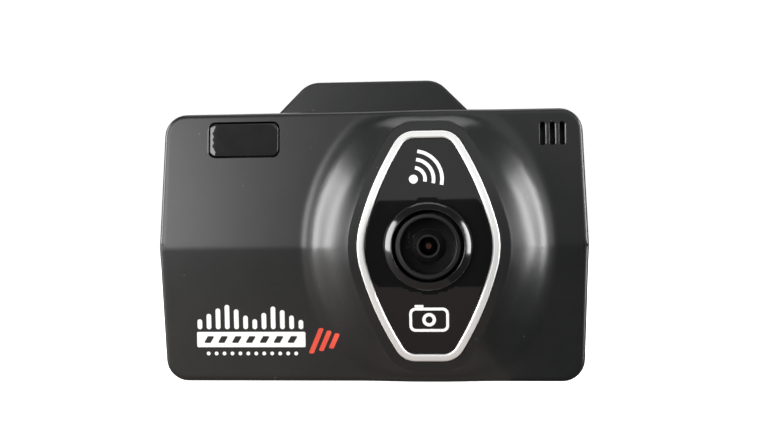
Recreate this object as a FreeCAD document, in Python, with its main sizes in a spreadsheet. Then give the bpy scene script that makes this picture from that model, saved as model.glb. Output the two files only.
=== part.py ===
"""Windscreen radar detector with a built-in dash camera, as a parametric FreeCAD document.

Frame: millimetres, +X to the right as the lens side is seen, +Y from the lens side to the screen
side, +Z up. The origin is the middle of the box's footprint, on the flat underside.
"""
import FreeCAD, Part
import math
import os
import re
import Sketcher

V = FreeCAD.Vector

SIZES = [
    # case
    ("overall_depth", 30.0, "lens ring front to button caps"),
    ("case_width", 94.0, "widest, at the crease"),
    ("case_height", 59.4, "underside to top wall"),
    ("side_taper", 1.0, "each side, narrower at top and bottom"),
    ("wall", 1.8, "wall of both shells"),
    ("corner_radius", 4.9, "case corners"),
    ("front_edge_radius", 1.1, "round around the front faces"),
    ("back_edge_radius", 2.0, "round around the back face"),
    ("crease_rise", 2.3, "how far the crease stands before the edges"),
    ("rear_depth", 11.5, "depth of the rear shell"),
    # pod: the lens bulge
    ("lens_x", 12.65, "lens axis"),
    ("pod_rise", 6.0, "crown of the pod before the crease"),
    ("dome_setback", 8.5, "crown of the pod to the dome centre plane"),
    ("dome_extra", 0.5, "dome wall, more than the case wall"),
    ("pod_floor", 1.0, "plastic behind the seat of bezel and panel"),
    ("dome_half_width", 26.5, "dome, at its centre plane"),
    ("dome_half_height", 28.6, "dome, at its centre plane"),
    ("dome_depth", 11.6, "dome, at its centre"),
    ("arch_radius", 75.0, "curve of the pod front, top to bottom"),
    ("pod_half_width", 15.07, "bezel outline"),
    ("pod_half_height", 24.7, "bezel outline"),
    ("pod_flat", 2.9, "half of the bezel's flat end"),
    ("pod_corner_radius", 4.8, "bezel end corners"),
    ("pod_side_radius", 18.4, "bezel side curve"),
    ("pod_flank_radius", 70.0, "bezel flank curve"),
    ("bezel_band", 1.6, "bezel width"),
    ("bezel_proud", 0.8, "bezel before the plateau"),
    ("panel_proud", 0.2, "gloss panel before the plateau"),
    ("inlay_depth", 0.8, "seat of bezel and panel below the plateau"),
    ("inlay_gap", 0.2, "line gap beside bezel and panel"),
    ("plateau_band", 2.2, "flat band around the bezel"),
    # lens
    ("lens_ring_proud", 3.5, "ring front before the plateau"),
    ("lens_ring_radius", 9.4, "ring outside"),
    ("lens_ring_bore", 7.7, "ring inside"),
    ("ring_lip", 0.3, "bevels of the ring's mouth"),
    ("ring_dip", 0.1, "where the ring's slope starts"),
    ("ring_round", 0.5, "ring's shoulder, inwards"),
    ("ring_slope", 1.0, "depth of the ring's slope"),
    ("ring_shoulder", 2.1, "depth where the ring is full width"),
    ("barrel_head_radius", 6.85, "lens barrel head"),
    ("barrel_head_length", 6.0, "lens barrel head"),
    ("barrel_radius", 6.0, "lens barrel thread"),
    ("barrel_length", 12.3, "lens barrel, front to back"),
    ("barrel_setback", 0.7, "barrel front behind the ring front"),
    ("barrel_chamfer", 0.2, "barrel front edge"),
    ("barrel_exit", 3.6, "barrel bore behind the glass seat"),
    ("glass_seat", 4.2, "depth of the wide front bore"),
    ("glass_radius", 5.9, "front lens element"),
    ("glass_thickness", 2.2, "front lens element"),
    ("glass_setback", 0.9, "front element behind the barrel front"),
    ("glass_sag", 1.1, "crown of the front element"),
    ("glass_fit", 0.03, "front element in its bore"),
    ("rear_glass_setback", 6.0, "rear element behind the barrel front"),
    ("rear_glass_radius", 3.5, "rear lens element"),
    ("rear_glass_length", 3.0, "rear lens element"),
    ("rear_glass_sag", 0.5, "crown of the rear element"),
    ("stop_radius", 2.4, "inner lens ring"),
    ("stop_hole_radius", 1.8, "inner lens ring"),
    ("stop_setback", 3.3, "inner ring behind the barrel front"),
    ("stop_width", 1.2, "sloping part of the inner ring"),
    ("stop_slope", 0.4, "rise of the sloping part"),
    ("stop_thickness", 0.8, "inner lens ring"),
    ("holder_radius", 7.3, "lens holder tube"),
    ("holder_plate", 20.0, "lens holder base"),
    ("holder_base", 1.5, "lens holder base, thickness"),
    ("holder_setback", 1.2, "holder tube behind the pod's seat"),
    ("back_focus", 2.2, "barrel end to the camera board's back"),
    ("camera_board_size", 22.0, "camera board"),
    ("camera_board_thickness", 0.8, "camera board"),
    ("camera_screw_place", 8.2, "camera screws, across and up from the lens axis"),
    ("camera_screw_radius", 0.68, "camera screws"),
    ("camera_screw_length", 1.3, "camera screws, past the board"),
    ("camera_head_radius", 1.3, "camera screws"),
    ("camera_head", 0.7, "camera screws"),
    ("camera_pilot", 0.7, "screw holes of the lens holder"),
    ("camera_pass", 0.8, "screw holes of the camera board"),
    ("sensor_width", 7.5, "image sensor"),
    ("sensor_height", 6.5, "image sensor"),
    ("sensor_thickness", 0.7, "image sensor"),
    ("filter_inset", 0.25, "filter glass inside the sensor's edge"),
    ("filter_thickness", 0.4, "filter glass"),
    ("flex_thickness", 0.25, "camera flex"),
    ("flex_width", 6.0, "camera flex"),
    ("flex_lap", 6.0, "camera flex, on the camera board"),
    ("flex_drop", 3.0, "flex loop below the camera board"),
    ("flex_bend", 1.0, "camera flex, inside of the bend"),
    # laser window and speaker
    ("laser_x", -28.15, "window centre"),
    ("laser_drop", 5.75, "window centre below the top wall"),
    ("laser_width", 15.5, "window"),
    ("laser_height", 7.6, "window"),
    ("laser_corner", 1.4, "window corners"),
    ("laser_gap", 0.25, "line gap around the window"),
    ("window_flange", 1.0, "window rim behind the wall, sideways"),
    ("window_flange_drop", 0.6, "window rim behind the wall, downwards"),
    ("window_flange_thickness", 0.7, "window rim behind the wall"),
    ("receiver_setback", 2.2, "receiver case behind the front wall"),
    ("receiver_drop", 1.0, "receiver centre below the window centre"),
    ("receiver_width", 13.0, "laser receiver"),
    ("receiver_height", 6.6, "laser receiver"),
    ("receiver_lens_radius", 2.6, "laser receiver lens"),
    ("receiver_lens_length", 0.8, "laser receiver lens"),
    ("slot_x", 39.55, "middle speaker slot"),
    ("slot_drop", 5.6, "slot centre below the top wall"),
    ("slot_width", 1.15, "speaker slot"),
    ("slot_length", 5.0, "speaker slot"),
    ("slot_pitch", 2.1, "speaker slots"),
    ("speaker_width", 13.0, "speaker"),
    ("speaker_height", 8.6, "speaker"),
    ("speaker_depth", 3.2, "speaker"),
    ("speaker_gap", 0.6, "speaker to the side wall"),
    ("speaker_top_gap", 0.4, "speaker to the top wall"),
    ("speaker_rim", 1.0, "rim of the speaker and its gasket"),
    ("speaker_gasket_thickness", 0.6, "foam between speaker and wall"),
    ("speaker_cup", 0.8, "depth of the speaker's open front"),
    ("cone_setback", 0.3, "speaker cone behind the rim"),
    ("cone_margin", 1.4, "speaker cone to the speaker's edge"),
    # mount block
    ("block_base", 44.3, "mount block where it meets the top wall"),
    ("block_height", 7.5, "mount block"),
    ("block_radius", 6.0, "mount block shoulders"),
    ("block_round", 0.6, "mount block, small edge rounds"),
    ("rail_neck", 9.0, "bracket slot, mouth"),
    ("rail_head", 13.0, "bracket slot, undercut"),
    ("rail_lip", 1.8, "bracket slot, lip"),
    ("rail_depth", 4.4, "bracket slot"),
    ("contact_width", 1.4, "dock contact"),
    ("contact_length", 4.0, "dock contact"),
    ("contact_pitch", 2.4, "dock contacts"),
    ("contact_depth", 1.0, "dock contact"),
    ("contact_setback", 3.0, "dock contacts behind the slot's end wall"),
    # screen
    ("display_x", 10.0, "screen centre"),
    ("glass_width", 62.0, "cover glass"),
    ("glass_height", 42.0, "cover glass"),
    ("glass_corner", 2.0, "cover glass corners"),
    ("cover_thickness", 1.0, "cover glass"),
    ("cover_gap", 0.15, "gap around the cover glass"),
    ("view_width", 56.0, "screen window"),
    ("view_height", 35.0, "screen window"),
    ("view_corner", 1.0, "screen window"),
    ("cover_chamfer", 0.2, "cover glass edge"),
    ("gasket_inset", 0.2, "gasket clear of the screen window"),
    ("lcd_margin", 1.6, "screen past its window"),
    ("gasket_thickness", 0.5, "foam gasket"),
    ("lcd_thickness", 1.2, "screen panel"),
    ("backlight_thickness", 1.5, "backlight tray"),
    ("backlight_gap", 0.2, "backlight to the power socket"),
    # buttons
    ("button_x", -33.5, "button column"),
    ("button_pitch", 9.2, "buttons"),
    ("button_width", 9.0, "button cap"),
    ("button_height", 5.4, "button cap"),
    ("button_corner", 2.2, "button cap corners"),
    ("button_proud", 0.5, "cap before the back face"),
    ("button_gap", 0.15, "clearance around a cap"),
    ("button_round", 0.35, "cap edge"),
    ("button_travel", 0.5, "stroke"),
    ("flange_rim", 0.8, "button flange past the cap"),
    ("flange_thickness", 0.8, "button flange"),
    ("stem_radius", 1.5, "button stem"),
    ("stem_length", 0.9, "button stem"),
    ("switch_size", 5.2, "tactile switch"),
    ("switch_body", 1.2, "tactile switch, without plunger"),
    ("plunger_radius", 1.2, "switch plunger"),
    ("plunger_height", 0.5, "switch plunger"),
    ("switch_slack", 0.1, "left between plunger and stem at full stroke"),
    ("button_board_width", 9.6, "button board"),
    ("button_board_height", 50.4, "button board"),
    ("button_board_thickness", 1.0, "button board"),
    ("light_radius", 0.8, "status light guide"),
    ("light_rise", 5.8, "status light above the top button"),
    ("led_height", 0.8, "light source behind the guide"),
    ("led_width", 1.6, "light source behind the guide"),
    ("led_breadth", 0.9, "light source behind the guide"),
    ("connector_width", 4.0, "board connector"),
    ("connector_height", 14.0, "board connector"),
    ("microphone_place", 18.0, "microphone beside the button column"),
    ("microphone_z", 4.4, "microphone"),
    ("microphone_hole", 0.6, "microphone hole in the wall"),
    ("microphone_radius", 2.0, "microphone"),
    ("microphone_height", 1.4, "microphone"),
    # boards and what they carry
    ("board_thickness", 1.2, "main board"),
    ("board_width", 86.0, "main board"),
    ("board_bottom", 7.5, "main board lower edge"),
    ("board_top_drop", 8.4, "main board upper edge below the top wall"),
    ("processor_x", 8.0, "processor"),
    ("processor_rise", 2.0, "processor above the crease"),
    ("processor_size", 14.0, "processor"),
    ("processor_thickness", 1.3, "processor"),
    ("memory_x", -8.0, "memory chips"),
    ("memory_rise", 1.0, "memory chips above the crease"),
    ("memory_pitch", 14.0, "memory chips"),
    ("memory_width", 9.0, "memory chip"),
    ("memory_height", 11.0, "memory chip"),
    ("memory_thickness", 1.0, "memory chip"),
    ("coil_x", 26.0, "power coil"),
    ("coil_drop", 1.0, "power coil below the crease"),
    ("coil_size", 7.0, "power coil"),
    ("coil_thickness", 2.6, "power coil"),
    ("horn_x", -26.0, "radar horn centre"),
    ("horn_z", 30.0, "radar horn centre"),
    ("horn_width", 28.0, "radar horn"),
    ("horn_height", 24.0, "radar horn"),
    ("horn_wall", 1.2, "radar horn"),
    ("horn_throat", 9.0, "radar horn throat"),
    ("horn_setback", 0.4, "horn mouth behind the front wall"),
    ("radar_board_thickness", 1.0, "radar board"),
    ("battery_length", 25.0, "battery"),
    ("battery_height", 11.0, "battery"),
    ("battery_thickness", 4.0, "battery"),
    ("battery_inset", 5.0, "battery inside the case width"),
    ("patch_size", 13.0, "GPS antenna"),
    ("patch_thickness", 4.0, "GPS antenna"),
    ("patch_x", -3.0, "GPS antenna"),
    ("patch_gap", 0.8, "GPS antenna below the top wall"),
    ("gps_board_margin", 1.0, "GPS board past its antenna"),
    ("gps_board_thickness", 0.8, "GPS board"),
    # card and power sockets, on the right side
    ("card_length", 15.0, "memory card"),
    ("card_width", 11.0, "memory card"),
    ("card_thickness", 0.9, "memory card"),
    ("card_z", 18.5, "memory card centre"),
    ("card_inset", 0.3, "card end inside the side wall"),
    ("card_gap", 0.15, "clearance around the card"),
    ("card_shoulder", 6.0, "wide part of the card starts here"),
    ("card_notch", 1.0, "narrowing of the card"),
    ("card_stop", 0.8, "card socket past the card's inner end"),
    ("card_side", 0.5, "card socket beside the card"),
    ("socket_skin", 0.4, "metal skin of the sockets"),
    ("usb_z", 39.5, "power socket centre"),
    ("usb_width", 7.7, "power socket"),
    ("usb_height", 3.9, "power socket"),
    ("usb_length", 9.0, "power socket"),
    ("usb_gap", 0.2, "clearance around the power socket"),
    ("usb_corner", 0.5, "power socket opening"),
    ("usb_back", 1.0, "back wall of the power socket"),
    ("tongue_thickness", 0.8, "contact tongue of the power socket"),
    ("tongue_margin", 1.5, "contact tongue to the socket's edge"),
    # screws
    ("screw_radius", 0.98, "case and board screws"),
    ("screw_head_radius", 1.85, "case and board screws"),
    ("screw_head", 1.2, "case and board screws"),
    ("screw_length", 7.5, "case screws"),
    ("screw_seat", 4.0, "case screw heads behind the split"),
    ("board_screw_length", 3.0, "board screws, past the board"),
    ("cross_width", 0.45, "cross recess"),
    ("cross_length", 2.0, "cross recess"),
    ("screw_inset", 5.5, "case screws inside the case width"),
    ("low_screw_z", 4.8, "lower case screws"),
    ("high_screw_drop", 4.9, "upper left case screw below the top wall"),
    ("speaker_screw_drop", 4.5, "case screw beside the speaker, below the top wall"),
    ("board_screw_inset", 2.5, "left board screws inside the board"),
    ("card_screw_inset", 2.0, "board screw above the card, inside the board"),
    ("card_screw_rise", 21.0, "board screw above the card, from the board's lower edge"),
    ("top_screw_inset", 1.5, "top right board screw inside the board"),
    ("top_screw_drop", 5.5, "top right board screw below the board's upper edge"),
    ("low_board_screw", 3.5, "lower left board screw above the board's lower edge"),
    ("high_board_screw", 4.0, "upper left board screw below the board's upper edge"),
    ("pilot_radius", 1.0, "screw holes in the posts"),
    ("pass_radius", 1.15, "screw holes in the rear shell"),
    ("head_bore_radius", 2.1, "screw head bores"),
    ("post_radius", 2.3, "case posts"),
    ("board_post_radius", 1.9, "board posts"),
    ("rear_post_radius", 2.6, "case posts of the rear shell"),
    ("pilot_floor", 0.3, "plastic left under a screw hole"),
    # vents and clearances
    ("vent_pitch", 7.0, "cooling slots"),
    ("vent_width", 1.2, "cooling slots"),
    ("vent_length", 5.0, "cooling slots"),
    ("vent_inset", 5.5, "cooling slots before the back face"),
    ("part_gap", 0.3, "between parts that pass each other"),
    ("seat_gap", 0.1, "between a part and its seat"),
    ("close_fit", 0.05, "between parts that fit closely"),
]

PLACES = {
    "back_y": "overall_depth / 2 - button_proud",
    "front_y": "-overall_depth / 2",
    "crown_y": "front_y + lens_ring_proud",
    "crease_y": "crown_y + pod_rise",
    "dome_y": "crown_y + dome_setback",
    "edge_y": "crease_y + crease_rise",
    "split_y": "back_y - rear_depth",
    "inner_y": "edge_y + wall",
    "skin_y": "back_y - wall",
    "crease_z": "case_height / 2",
    "block_z": "case_height + block_height",
    "side_x": "case_width / 2",
    "lean": "atan(crease_rise / crease_z)",
    "arch_y": "crown_y + arch_radius",
    "laser_z": "case_height - laser_drop",
    "slot_z": "case_height - slot_drop",
    "laser_y": "edge_y - crease_rise * laser_drop / crease_z",
    "slot_y": "edge_y - crease_rise * slot_drop / crease_z",
    "board_top": "case_height - board_top_drop",
    "barrel_y": "front_y + barrel_setback",
    "cover_seat_y": "back_y - cover_thickness",
    "lcd_y": "skin_y - gasket_thickness",
    "backlight_y": "lcd_y - lcd_thickness",
    "board_back": "backlight_y - backlight_thickness - backlight_gap - usb_height",
    "board_front": "board_back - board_thickness",
    "flange_y": "skin_y - close_fit",
    "stem_y": "flange_y - flange_thickness - stem_length",
    "plunger_y": "stem_y - button_travel - switch_slack",
    "switch_y": "plunger_y - plunger_height - switch_body",
    "card_y": "board_back + 2 * socket_skin + card_gap + card_thickness / 2",
    "card_x": "side_x - side_taper * (1 - card_z / crease_z) - card_inset",
    "usb_x": "side_x - side_taper * (usb_z / crease_z - 1) - wall",
    "rail_z": "block_z - rail_depth",
    "camera_board_back": "barrel_y + barrel_length + back_focus",
    "camera_board_front": "camera_board_back - camera_board_thickness",
    "speaker_left": "side_x - side_taper - wall - speaker_gap - speaker_width",
    "contact_y": "split_y + wall + contact_setback",
    "head_seat_y": "split_y + screw_seat",
}

FUNCTIONS = {"atan", "abs"}
WORD = re.compile(r"[a-z_]+")
CLEAR = 3.0  # how far a cutting solid runs past what it cuts
TOUCH = 0.01  # how near an edge lies to the place it is picked by
ROUND_END = 0.45  # corner radius of a slot with round ends, as a share of its width
VENTS = 7
CONTACTS = 4
GLASS_RINGS = (0, 0.35, 0.7, 1)  # where the front element's curve is defined, as shares of its radius
BUTTONS = ["button_ok", "button_down", "button_up", "button_menu", "button_power"]
CASE_SCREWS = [
    ("side_x - screw_inset", "low_screw_z"),
    ("-side_x + screw_inset", "low_screw_z"),
    ("-side_x + screw_inset", "case_height - high_screw_drop"),
    ("speaker_left - post_radius - part_gap", "case_height - speaker_screw_drop"),
]
BOARD_SCREWS = [
    ("-board_width / 2 + board_screw_inset", "board_bottom + low_board_screw"),
    ("-board_width / 2 + board_screw_inset", "board_top - high_board_screw"),
    ("board_width / 2 - card_screw_inset", "board_bottom + card_screw_rise"),
    ("board_width / 2 - top_screw_inset", "board_top - top_screw_drop"),
]

doc = FreeCAD.newDocument("radar_dash_cam")
nodes = {}


# ---------------------------------------------------------------- sizes and expressions

def make_sheet():
    """Driving dimensions: a note, a plain number and its alias in each row."""
    sheet = doc.addObject("Spreadsheet::Sheet", "Dims")
    for row, (alias, value, note) in enumerate(SIZES, start=1):
        sheet.set(f"A{row}", note)
        sheet.set(f"B{row}", str(value))
        sheet.setAlias(f"B{row}", alias)
    doc.recompute()
    return sheet


def cells(text):
    """An expression with each size written as its sheet cell and each place written out."""
    def swap(match):
        word = match.group(0)
        if word in FUNCTIONS:
            return word
        if word in PLACES:
            return "(" + cells(PLACES[word]) + ")"
        return "Dims." + word
    return WORD.sub(swap, str(text))


def number(text):
    value = dims.evalExpression(cells(text))
    return float(getattr(value, "Value", value))


def bind(thing, path, text):
    thing.setExpression(path, cells(text))


def node(thing, name):
    """Name a finished sub-part; the label names its file."""
    thing.Label = name
    nodes[name] = thing
    return thing


# ---------------------------------------------------------------- sketches

def make_sketch(body, role, offset):
    plane = next(f for f in body.Origin.OriginFeatures if f.Role == role)
    sketch = body.newObject("Sketcher::SketchObject", "Sketch")
    sketch.AttachmentSupport = (plane, [""])
    sketch.MapMode = "FlatFace"
    bind(sketch, "AttachmentOffset.Base.z", offset)
    return sketch


def front_sketch(body, y="0"):
    """A sketch seen from the lens side, in the plane at y; its normal is -Y."""
    return make_sketch(body, "XZ_Plane", f"-({y})")


def side_sketch(body, x="0"):
    """A sketch in the plane at x, with Y across and Z up; its normal is +X."""
    return make_sketch(body, "YZ_Plane", x)


def plan_sketch(body, z="0"):
    """A sketch in the plane at z; its normal is +Z."""
    return make_sketch(body, "XY_Plane", z)


def tie_point(sketch, geometry, place, x, y):
    """Hold a point of a sketch at two expressions."""
    for kind, text in (("DistanceX", x), ("DistanceY", y)):
        index = sketch.addConstraint(Sketcher.Constraint(kind, -1, 1, geometry, place, number(text)))
        bind(sketch, f"Constraints[{index}]", text)


def tie_radius(sketch, geometry, text):
    index = sketch.addConstraint(Sketcher.Constraint("Radius", geometry, number(text)))
    bind(sketch, f"Constraints[{index}]", text)


def draw_circle(sketch, x, y, radius):
    circle = Part.Circle(V(number(x), number(y), 0), V(0, 0, 1), number(radius))
    index = sketch.addGeometry(circle)
    tie_point(sketch, index, 3, x, y)
    tie_radius(sketch, index, radius)


def draw_polygon(sketch, corners):
    """A closed outline of straight lines, each corner held at its expressions."""
    spots = [V(number(x), number(y), 0) for x, y in corners]
    first = sketch.GeometryCount
    count = len(spots)
    for i in range(count):
        sketch.addGeometry(Part.LineSegment(spots[i], spots[(i + 1) % count]))
    for i in range(count):
        following = first + (i + 1) % count
        sketch.addConstraint(Sketcher.Constraint("Coincident", first + i, 2, following, 1))
        tie_point(sketch, first + i, 1, *corners[i])


def draw_rectangle(sketch, x, y, width, height):
    left, right = f"{x} - ({width}) / 2", f"{x} + ({width}) / 2"
    low, high = f"{y} - ({height}) / 2", f"{y} + ({height}) / 2"
    draw_polygon(sketch, [(left, low), (right, low), (right, high), (left, high)])


def draw_rounded(sketch, x, y, width, height, radius):
    """A rectangle with round corners: four arcs held by centre and radius, tangent lines between."""
    across, up = f"(({width}) / 2 - ({radius}))", f"(({height}) / 2 - ({radius}))"
    signs = [(1, -1), (1, 1), (-1, 1), (-1, -1)]
    r = number(radius)
    arcs = []
    for turn, (sx, sy) in enumerate(signs):
        centre = V(number(f"{x} + {sx} * {across}"), number(f"{y} + {sy} * {up}"), 0)
        start = (turn - 1) * math.pi / 2
        circle = Part.Circle(centre, V(0, 0, 1), r)
        arc = sketch.addGeometry(Part.ArcOfCircle(circle, start, start + math.pi / 2))
        tie_point(sketch, arc, 3, f"{x} + {sx} * {across}", f"{y} + {sy} * {up}")
        tie_radius(sketch, arc, radius)
        arcs.append(arc)
    join_with_lines(sketch, arcs)


def join_with_lines(sketch, arcs):
    """Tangent lines from the end of each arc to the start of the next, all round."""
    for i, arc in enumerate(arcs):
        following = arcs[(i + 1) % len(arcs)]
        start = sketch.getPoint(arc, 2)
        end = sketch.getPoint(following, 1)
        line = sketch.addGeometry(Part.LineSegment(start, end))
        sketch.addConstraint(Sketcher.Constraint("Tangent", arc, 2, line, 1))
        sketch.addConstraint(Sketcher.Constraint("Tangent", line, 2, following, 1))


def draw_pod_outline(sketch, grow):
    """The bezel's outline about the lens axis, grown outwards by an expression.

    Each quarter is a side arc, a long flank arc tangent to it, an end corner arc and half of a
    flat end. Side and corner arcs are held by centre and radius; the flank arcs find their
    centres by tangency.
    """
    side_x, corner_x = "pod_half_width - pod_side_radius", "pod_flat"
    corner_z = "pod_half_height - pod_corner_radius"
    side_r, corner_r = f"pod_side_radius + {grow}", f"pod_corner_radius + {grow}"
    flank_r = f"pod_flank_radius + {grow}"
    side = complex(number(side_x), 0)
    corner = complex(number(corner_x), number(corner_z))
    to_side = number("pod_flank_radius - pod_side_radius")
    to_corner = number("pod_flank_radius - pod_corner_radius")
    apart = abs(corner - side)
    along = (to_side ** 2 - to_corner ** 2 + apart ** 2) / (2 * apart)
    aside = math.sqrt(to_side ** 2 - along ** 2)
    flank = side + (corner - side) / apart * complex(along, aside)
    low = math.atan2((side - flank).imag, (side - flank).real)
    high = math.atan2((corner - flank).imag, (corner - flank).real)

    def arc(centre, radius, start, end):
        circle = Part.Circle(V(centre.real, centre.imag, 0), V(0, 0, 1), number(radius))
        index = sketch.addGeometry(Part.ArcOfCircle(circle, start, end))
        tie_radius(sketch, index, radius)
        return index

    def quarter(sx, sz):
        """Angle of a direction mirrored into one quarter."""
        return lambda angle: math.atan2(sz * math.sin(angle), sx * math.cos(angle))

    def mirrored(spot, sx, sz):
        return complex(sx * spot.real, sz * spot.imag)

    top = math.pi / 2
    loop = []
    for sx in (1, -1):
        # the right half runs upwards from its lower corner, the left half downwards
        turn = quarter(sx, -sx)
        back = quarter(sx, sx)
        lower, upper = (sx, -sx), (sx, sx)
        pieces = [
            (mirrored(corner, *lower), corner_r, turn(top), turn(high), lower),
            (mirrored(flank, *lower), flank_r, turn(high), turn(low), None),
            (mirrored(side, *lower), side_r, turn(low), back(low), (sx, 0)),
            (mirrored(flank, *upper), flank_r, back(low), back(high), None),
            (mirrored(corner, *upper), corner_r, back(high), back(top), upper),
        ]
        for centre, radius, start, end, held in pieces:
            if end < start:
                end += 2 * math.pi
            index = arc(centre, radius, start, end)
            if held is not None:
                spot_x = side_x if held[1] == 0 else corner_x
                tie_point(sketch, index, 3, f"{held[0]} * ({spot_x})", f"{held[1]} * ({corner_z})")
            loop.append(index)
    for i, index in enumerate(loop):
        following = loop[(i + 1) % len(loop)]
        if i % 5 == 4:
            ends = sketch.getPoint(index, 2), sketch.getPoint(following, 1)
            line = sketch.addGeometry(Part.LineSegment(*ends))
            sketch.addConstraint(Sketcher.Constraint("Tangent", index, 2, line, 1))
            sketch.addConstraint(Sketcher.Constraint("Tangent", line, 2, following, 1))
        else:
            sketch.addConstraint(Sketcher.Constraint("Tangent", index, 2, following, 1))


def case_outline(inset):
    """The case seen from the front: six corners, widest at the crease."""
    wide, narrow = f"side_x - {inset}", f"side_x - side_taper - {inset}"
    low, high = f"{inset}", f"case_height - {inset}"
    right = [(narrow, low), (wide, "crease_z"), (narrow, high)]
    left = [(f"-({x})", z) for x, z in reversed(right)]
    return right + left


# ---------------------------------------------------------------- features

def new_body(name):
    return doc.addObject("PartDesign::Body", name)


def pad(body, sketch, length, both=False, reverse=False):
    feature = body.newObject("PartDesign::Pad", "Pad")
    feature.Profile = sketch
    bind(feature, "Length", length)
    feature.SideType = "Symmetric" if both else "One side"
    feature.Reversed = reverse
    doc.recompute()
    return feature


def pocket(body, sketch, length=None, both=False, reverse=False):
    """Cut a sketch out of a body, to a depth or right through; a cut that misses is an error."""
    before = body.Shape.Volume
    feature = body.newObject("PartDesign::Pocket", "Pocket")
    feature.Profile = sketch
    feature.SideType = "Symmetric" if both else "One side"
    if length is None:
        feature.Type = "ThroughAll"
    else:
        bind(feature, "Length", length)
    feature.Reversed = reverse
    doc.recompute()
    if body.Shape.Volume > before - 1e-4:
        raise RuntimeError(f"{body.Name}: {feature.Name} cuts nothing")
    return feature


def revolve(body, sketch):
    """Turn a sketch about its own vertical axis."""
    feature = body.newObject("PartDesign::Revolution", "Revolution")
    feature.Profile = sketch
    feature.ReferenceAxis = (sketch, ["V_Axis"])
    feature.Angle = 360
    doc.recompute()
    return feature


def edges_where(feature, test):
    """Names of the edges whose box passes a test."""
    names = []
    for index, edge in enumerate(feature.Shape.Edges, start=1):
        if test(edge.BoundBox):
            names.append(f"Edge{index}")
    return names


def fillet(body, feature, radius, test, kind="PartDesign::Fillet"):
    names = edges_where(feature, test)
    if not names:
        raise RuntimeError(f"{body.Name}: no edge to round")
    rounded = body.newObject(kind, "Fillet")
    rounded.Base = (feature, names)
    bind(rounded, "Radius" if kind.endswith("Fillet") else "Size", radius)
    doc.recompute()
    return rounded


def place(thing, x="0", y="0", z="0"):
    for axis, text in zip("xyz", (x, y, z)):
        bind(thing, f"Placement.Base.{axis}", text)
    return thing


def tilt(thing, angle):
    """Lean a piece back about X by an angle expression."""
    thing.Placement = FreeCAD.Placement(V(0, 0, 0), FreeCAD.Rotation(V(1, 0, 0), 5))
    bind(thing, "Placement.Rotation.Angle", angle)
    return thing


def box(name, x, y, z, width, depth, height):
    """A Part::Box centred at x and z, with its front face at y."""
    piece = doc.addObject("Part::Box", name)
    bind(piece, "Length", width)
    bind(piece, "Width", depth)
    bind(piece, "Height", height)
    return place(piece, f"{x} - ({width}) / 2", y, f"{z} - ({height}) / 2")


def rod(name, x, y, z, radius, length):
    """A Part::Cylinder along +Y, from y."""
    piece = doc.addObject("Part::Cylinder", name)
    bind(piece, "Radius", radius)
    bind(piece, "Height", length)
    piece.Placement = FreeCAD.Placement(V(0, 0, 0), FreeCAD.Rotation(V(1, 0, 0), -90))
    return place(piece, x, y, z)


def fuse(name, pieces):
    joined = doc.addObject("Part::MultiFuse", name)
    joined.Shapes = pieces
    return joined


def cut(name, base, tools):
    """Base without the tools."""
    result = doc.addObject("Part::Cut", name)
    result.Base = base
    result.Tool = tools[0] if len(tools) == 1 else fuse(name + "_tools", tools)
    return result


def group(name, pieces):
    """Separate solids that share one node."""
    together = doc.addObject("Part::Compound", name)
    together.Links = pieces
    return node(together, name)


# ---------------------------------------------------------------- shells

def case_corners(bounds):
    """The four corner edges that run along Y."""
    along_y = bounds.YLength > TOUCH and bounds.XLength < TOUCH and bounds.ZLength < TOUCH
    return along_y and abs(bounds.XMin) < number("side_x - side_taper / 2")


def pod_tool(name, grow, radius):
    """What lies before an arch of the given radius, inside the grown pod outline."""
    body = new_body(name)
    outline = front_sketch(body, "split_y")
    draw_pod_outline(outline, grow)
    pad(body, outline, f"split_y - front_y + {CLEAR}")
    arch = side_sketch(body)
    draw_circle(arch, "arch_y", "0", radius)
    pocket(body, arch, "case_width", both=True)
    return place(body, "lens_x", "0", "crease_z")


def half_ellipsoid(name, y, half_width, half_height, depth):
    """The lens-side half of an ellipsoid."""
    dome = doc.addObject("Part::Ellipsoid", name)
    bind(dome, "Radius1", half_height)
    bind(dome, "Radius2", half_width)
    bind(dome, "Radius3", depth)
    dome.Angle3 = 180
    dome.Placement = FreeCAD.Placement(V(0, 0, 0), FreeCAD.Rotation(V(0, 0, 1), 180))
    return place(dome, "lens_x", y, "crease_z")


def make_front_blank():
    """Front shell without the pod: creased faces, round corners, hollow behind."""
    body = new_body("front_blank")
    outline = front_sketch(body, "split_y")
    draw_polygon(outline, case_outline("0"))
    slab = pad(body, outline, "split_y - crease_y")
    fillet(body, slab, "corner_radius", case_corners)
    slopes = side_sketch(body)
    for high in ("case_height", "0"):
        draw_polygon(slopes, [("crease_y", "crease_z"), ("edge_y", high), ("crease_y", high)])
    sloped = pocket(body, slopes, f"case_width + {CLEAR}", both=True)
    edge_y, crease_z = number("edge_y"), number("crease_z")
    fillet(body, sloped, "front_edge_radius",
           lambda b: b.YMax < edge_y + TOUCH
           and not (b.ZLength < TOUCH and abs(b.ZMin - crease_z) < TOUCH))
    hollow = front_sketch(body, "split_y")
    draw_polygon(hollow, case_outline("wall"))
    pocket(body, hollow, "split_y - inner_y", reverse=True)
    hollow_slopes = side_sketch(body)
    draw_polygon(hollow_slopes, [("inner_y", "wall"), ("crease_y + wall", "crease_z"),
                                 ("inner_y", "case_height - wall")])
    pocket(body, hollow_slopes, "case_width - 2 * (side_taper + wall)", both=True)
    return body


def laser_tool():
    """The opening that the laser window drops into."""
    body = new_body("laser_opening")
    outline = front_sketch(body, str(CLEAR))
    draw_rounded(outline, "0", "0", "laser_width + 2 * laser_gap", "laser_height + 2 * laser_gap",
                 "laser_corner + laser_gap")
    pad(body, outline, str(2 * CLEAR))
    return place(tilt(body, "-lean"), "laser_x", "laser_y", "laser_z")


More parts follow.
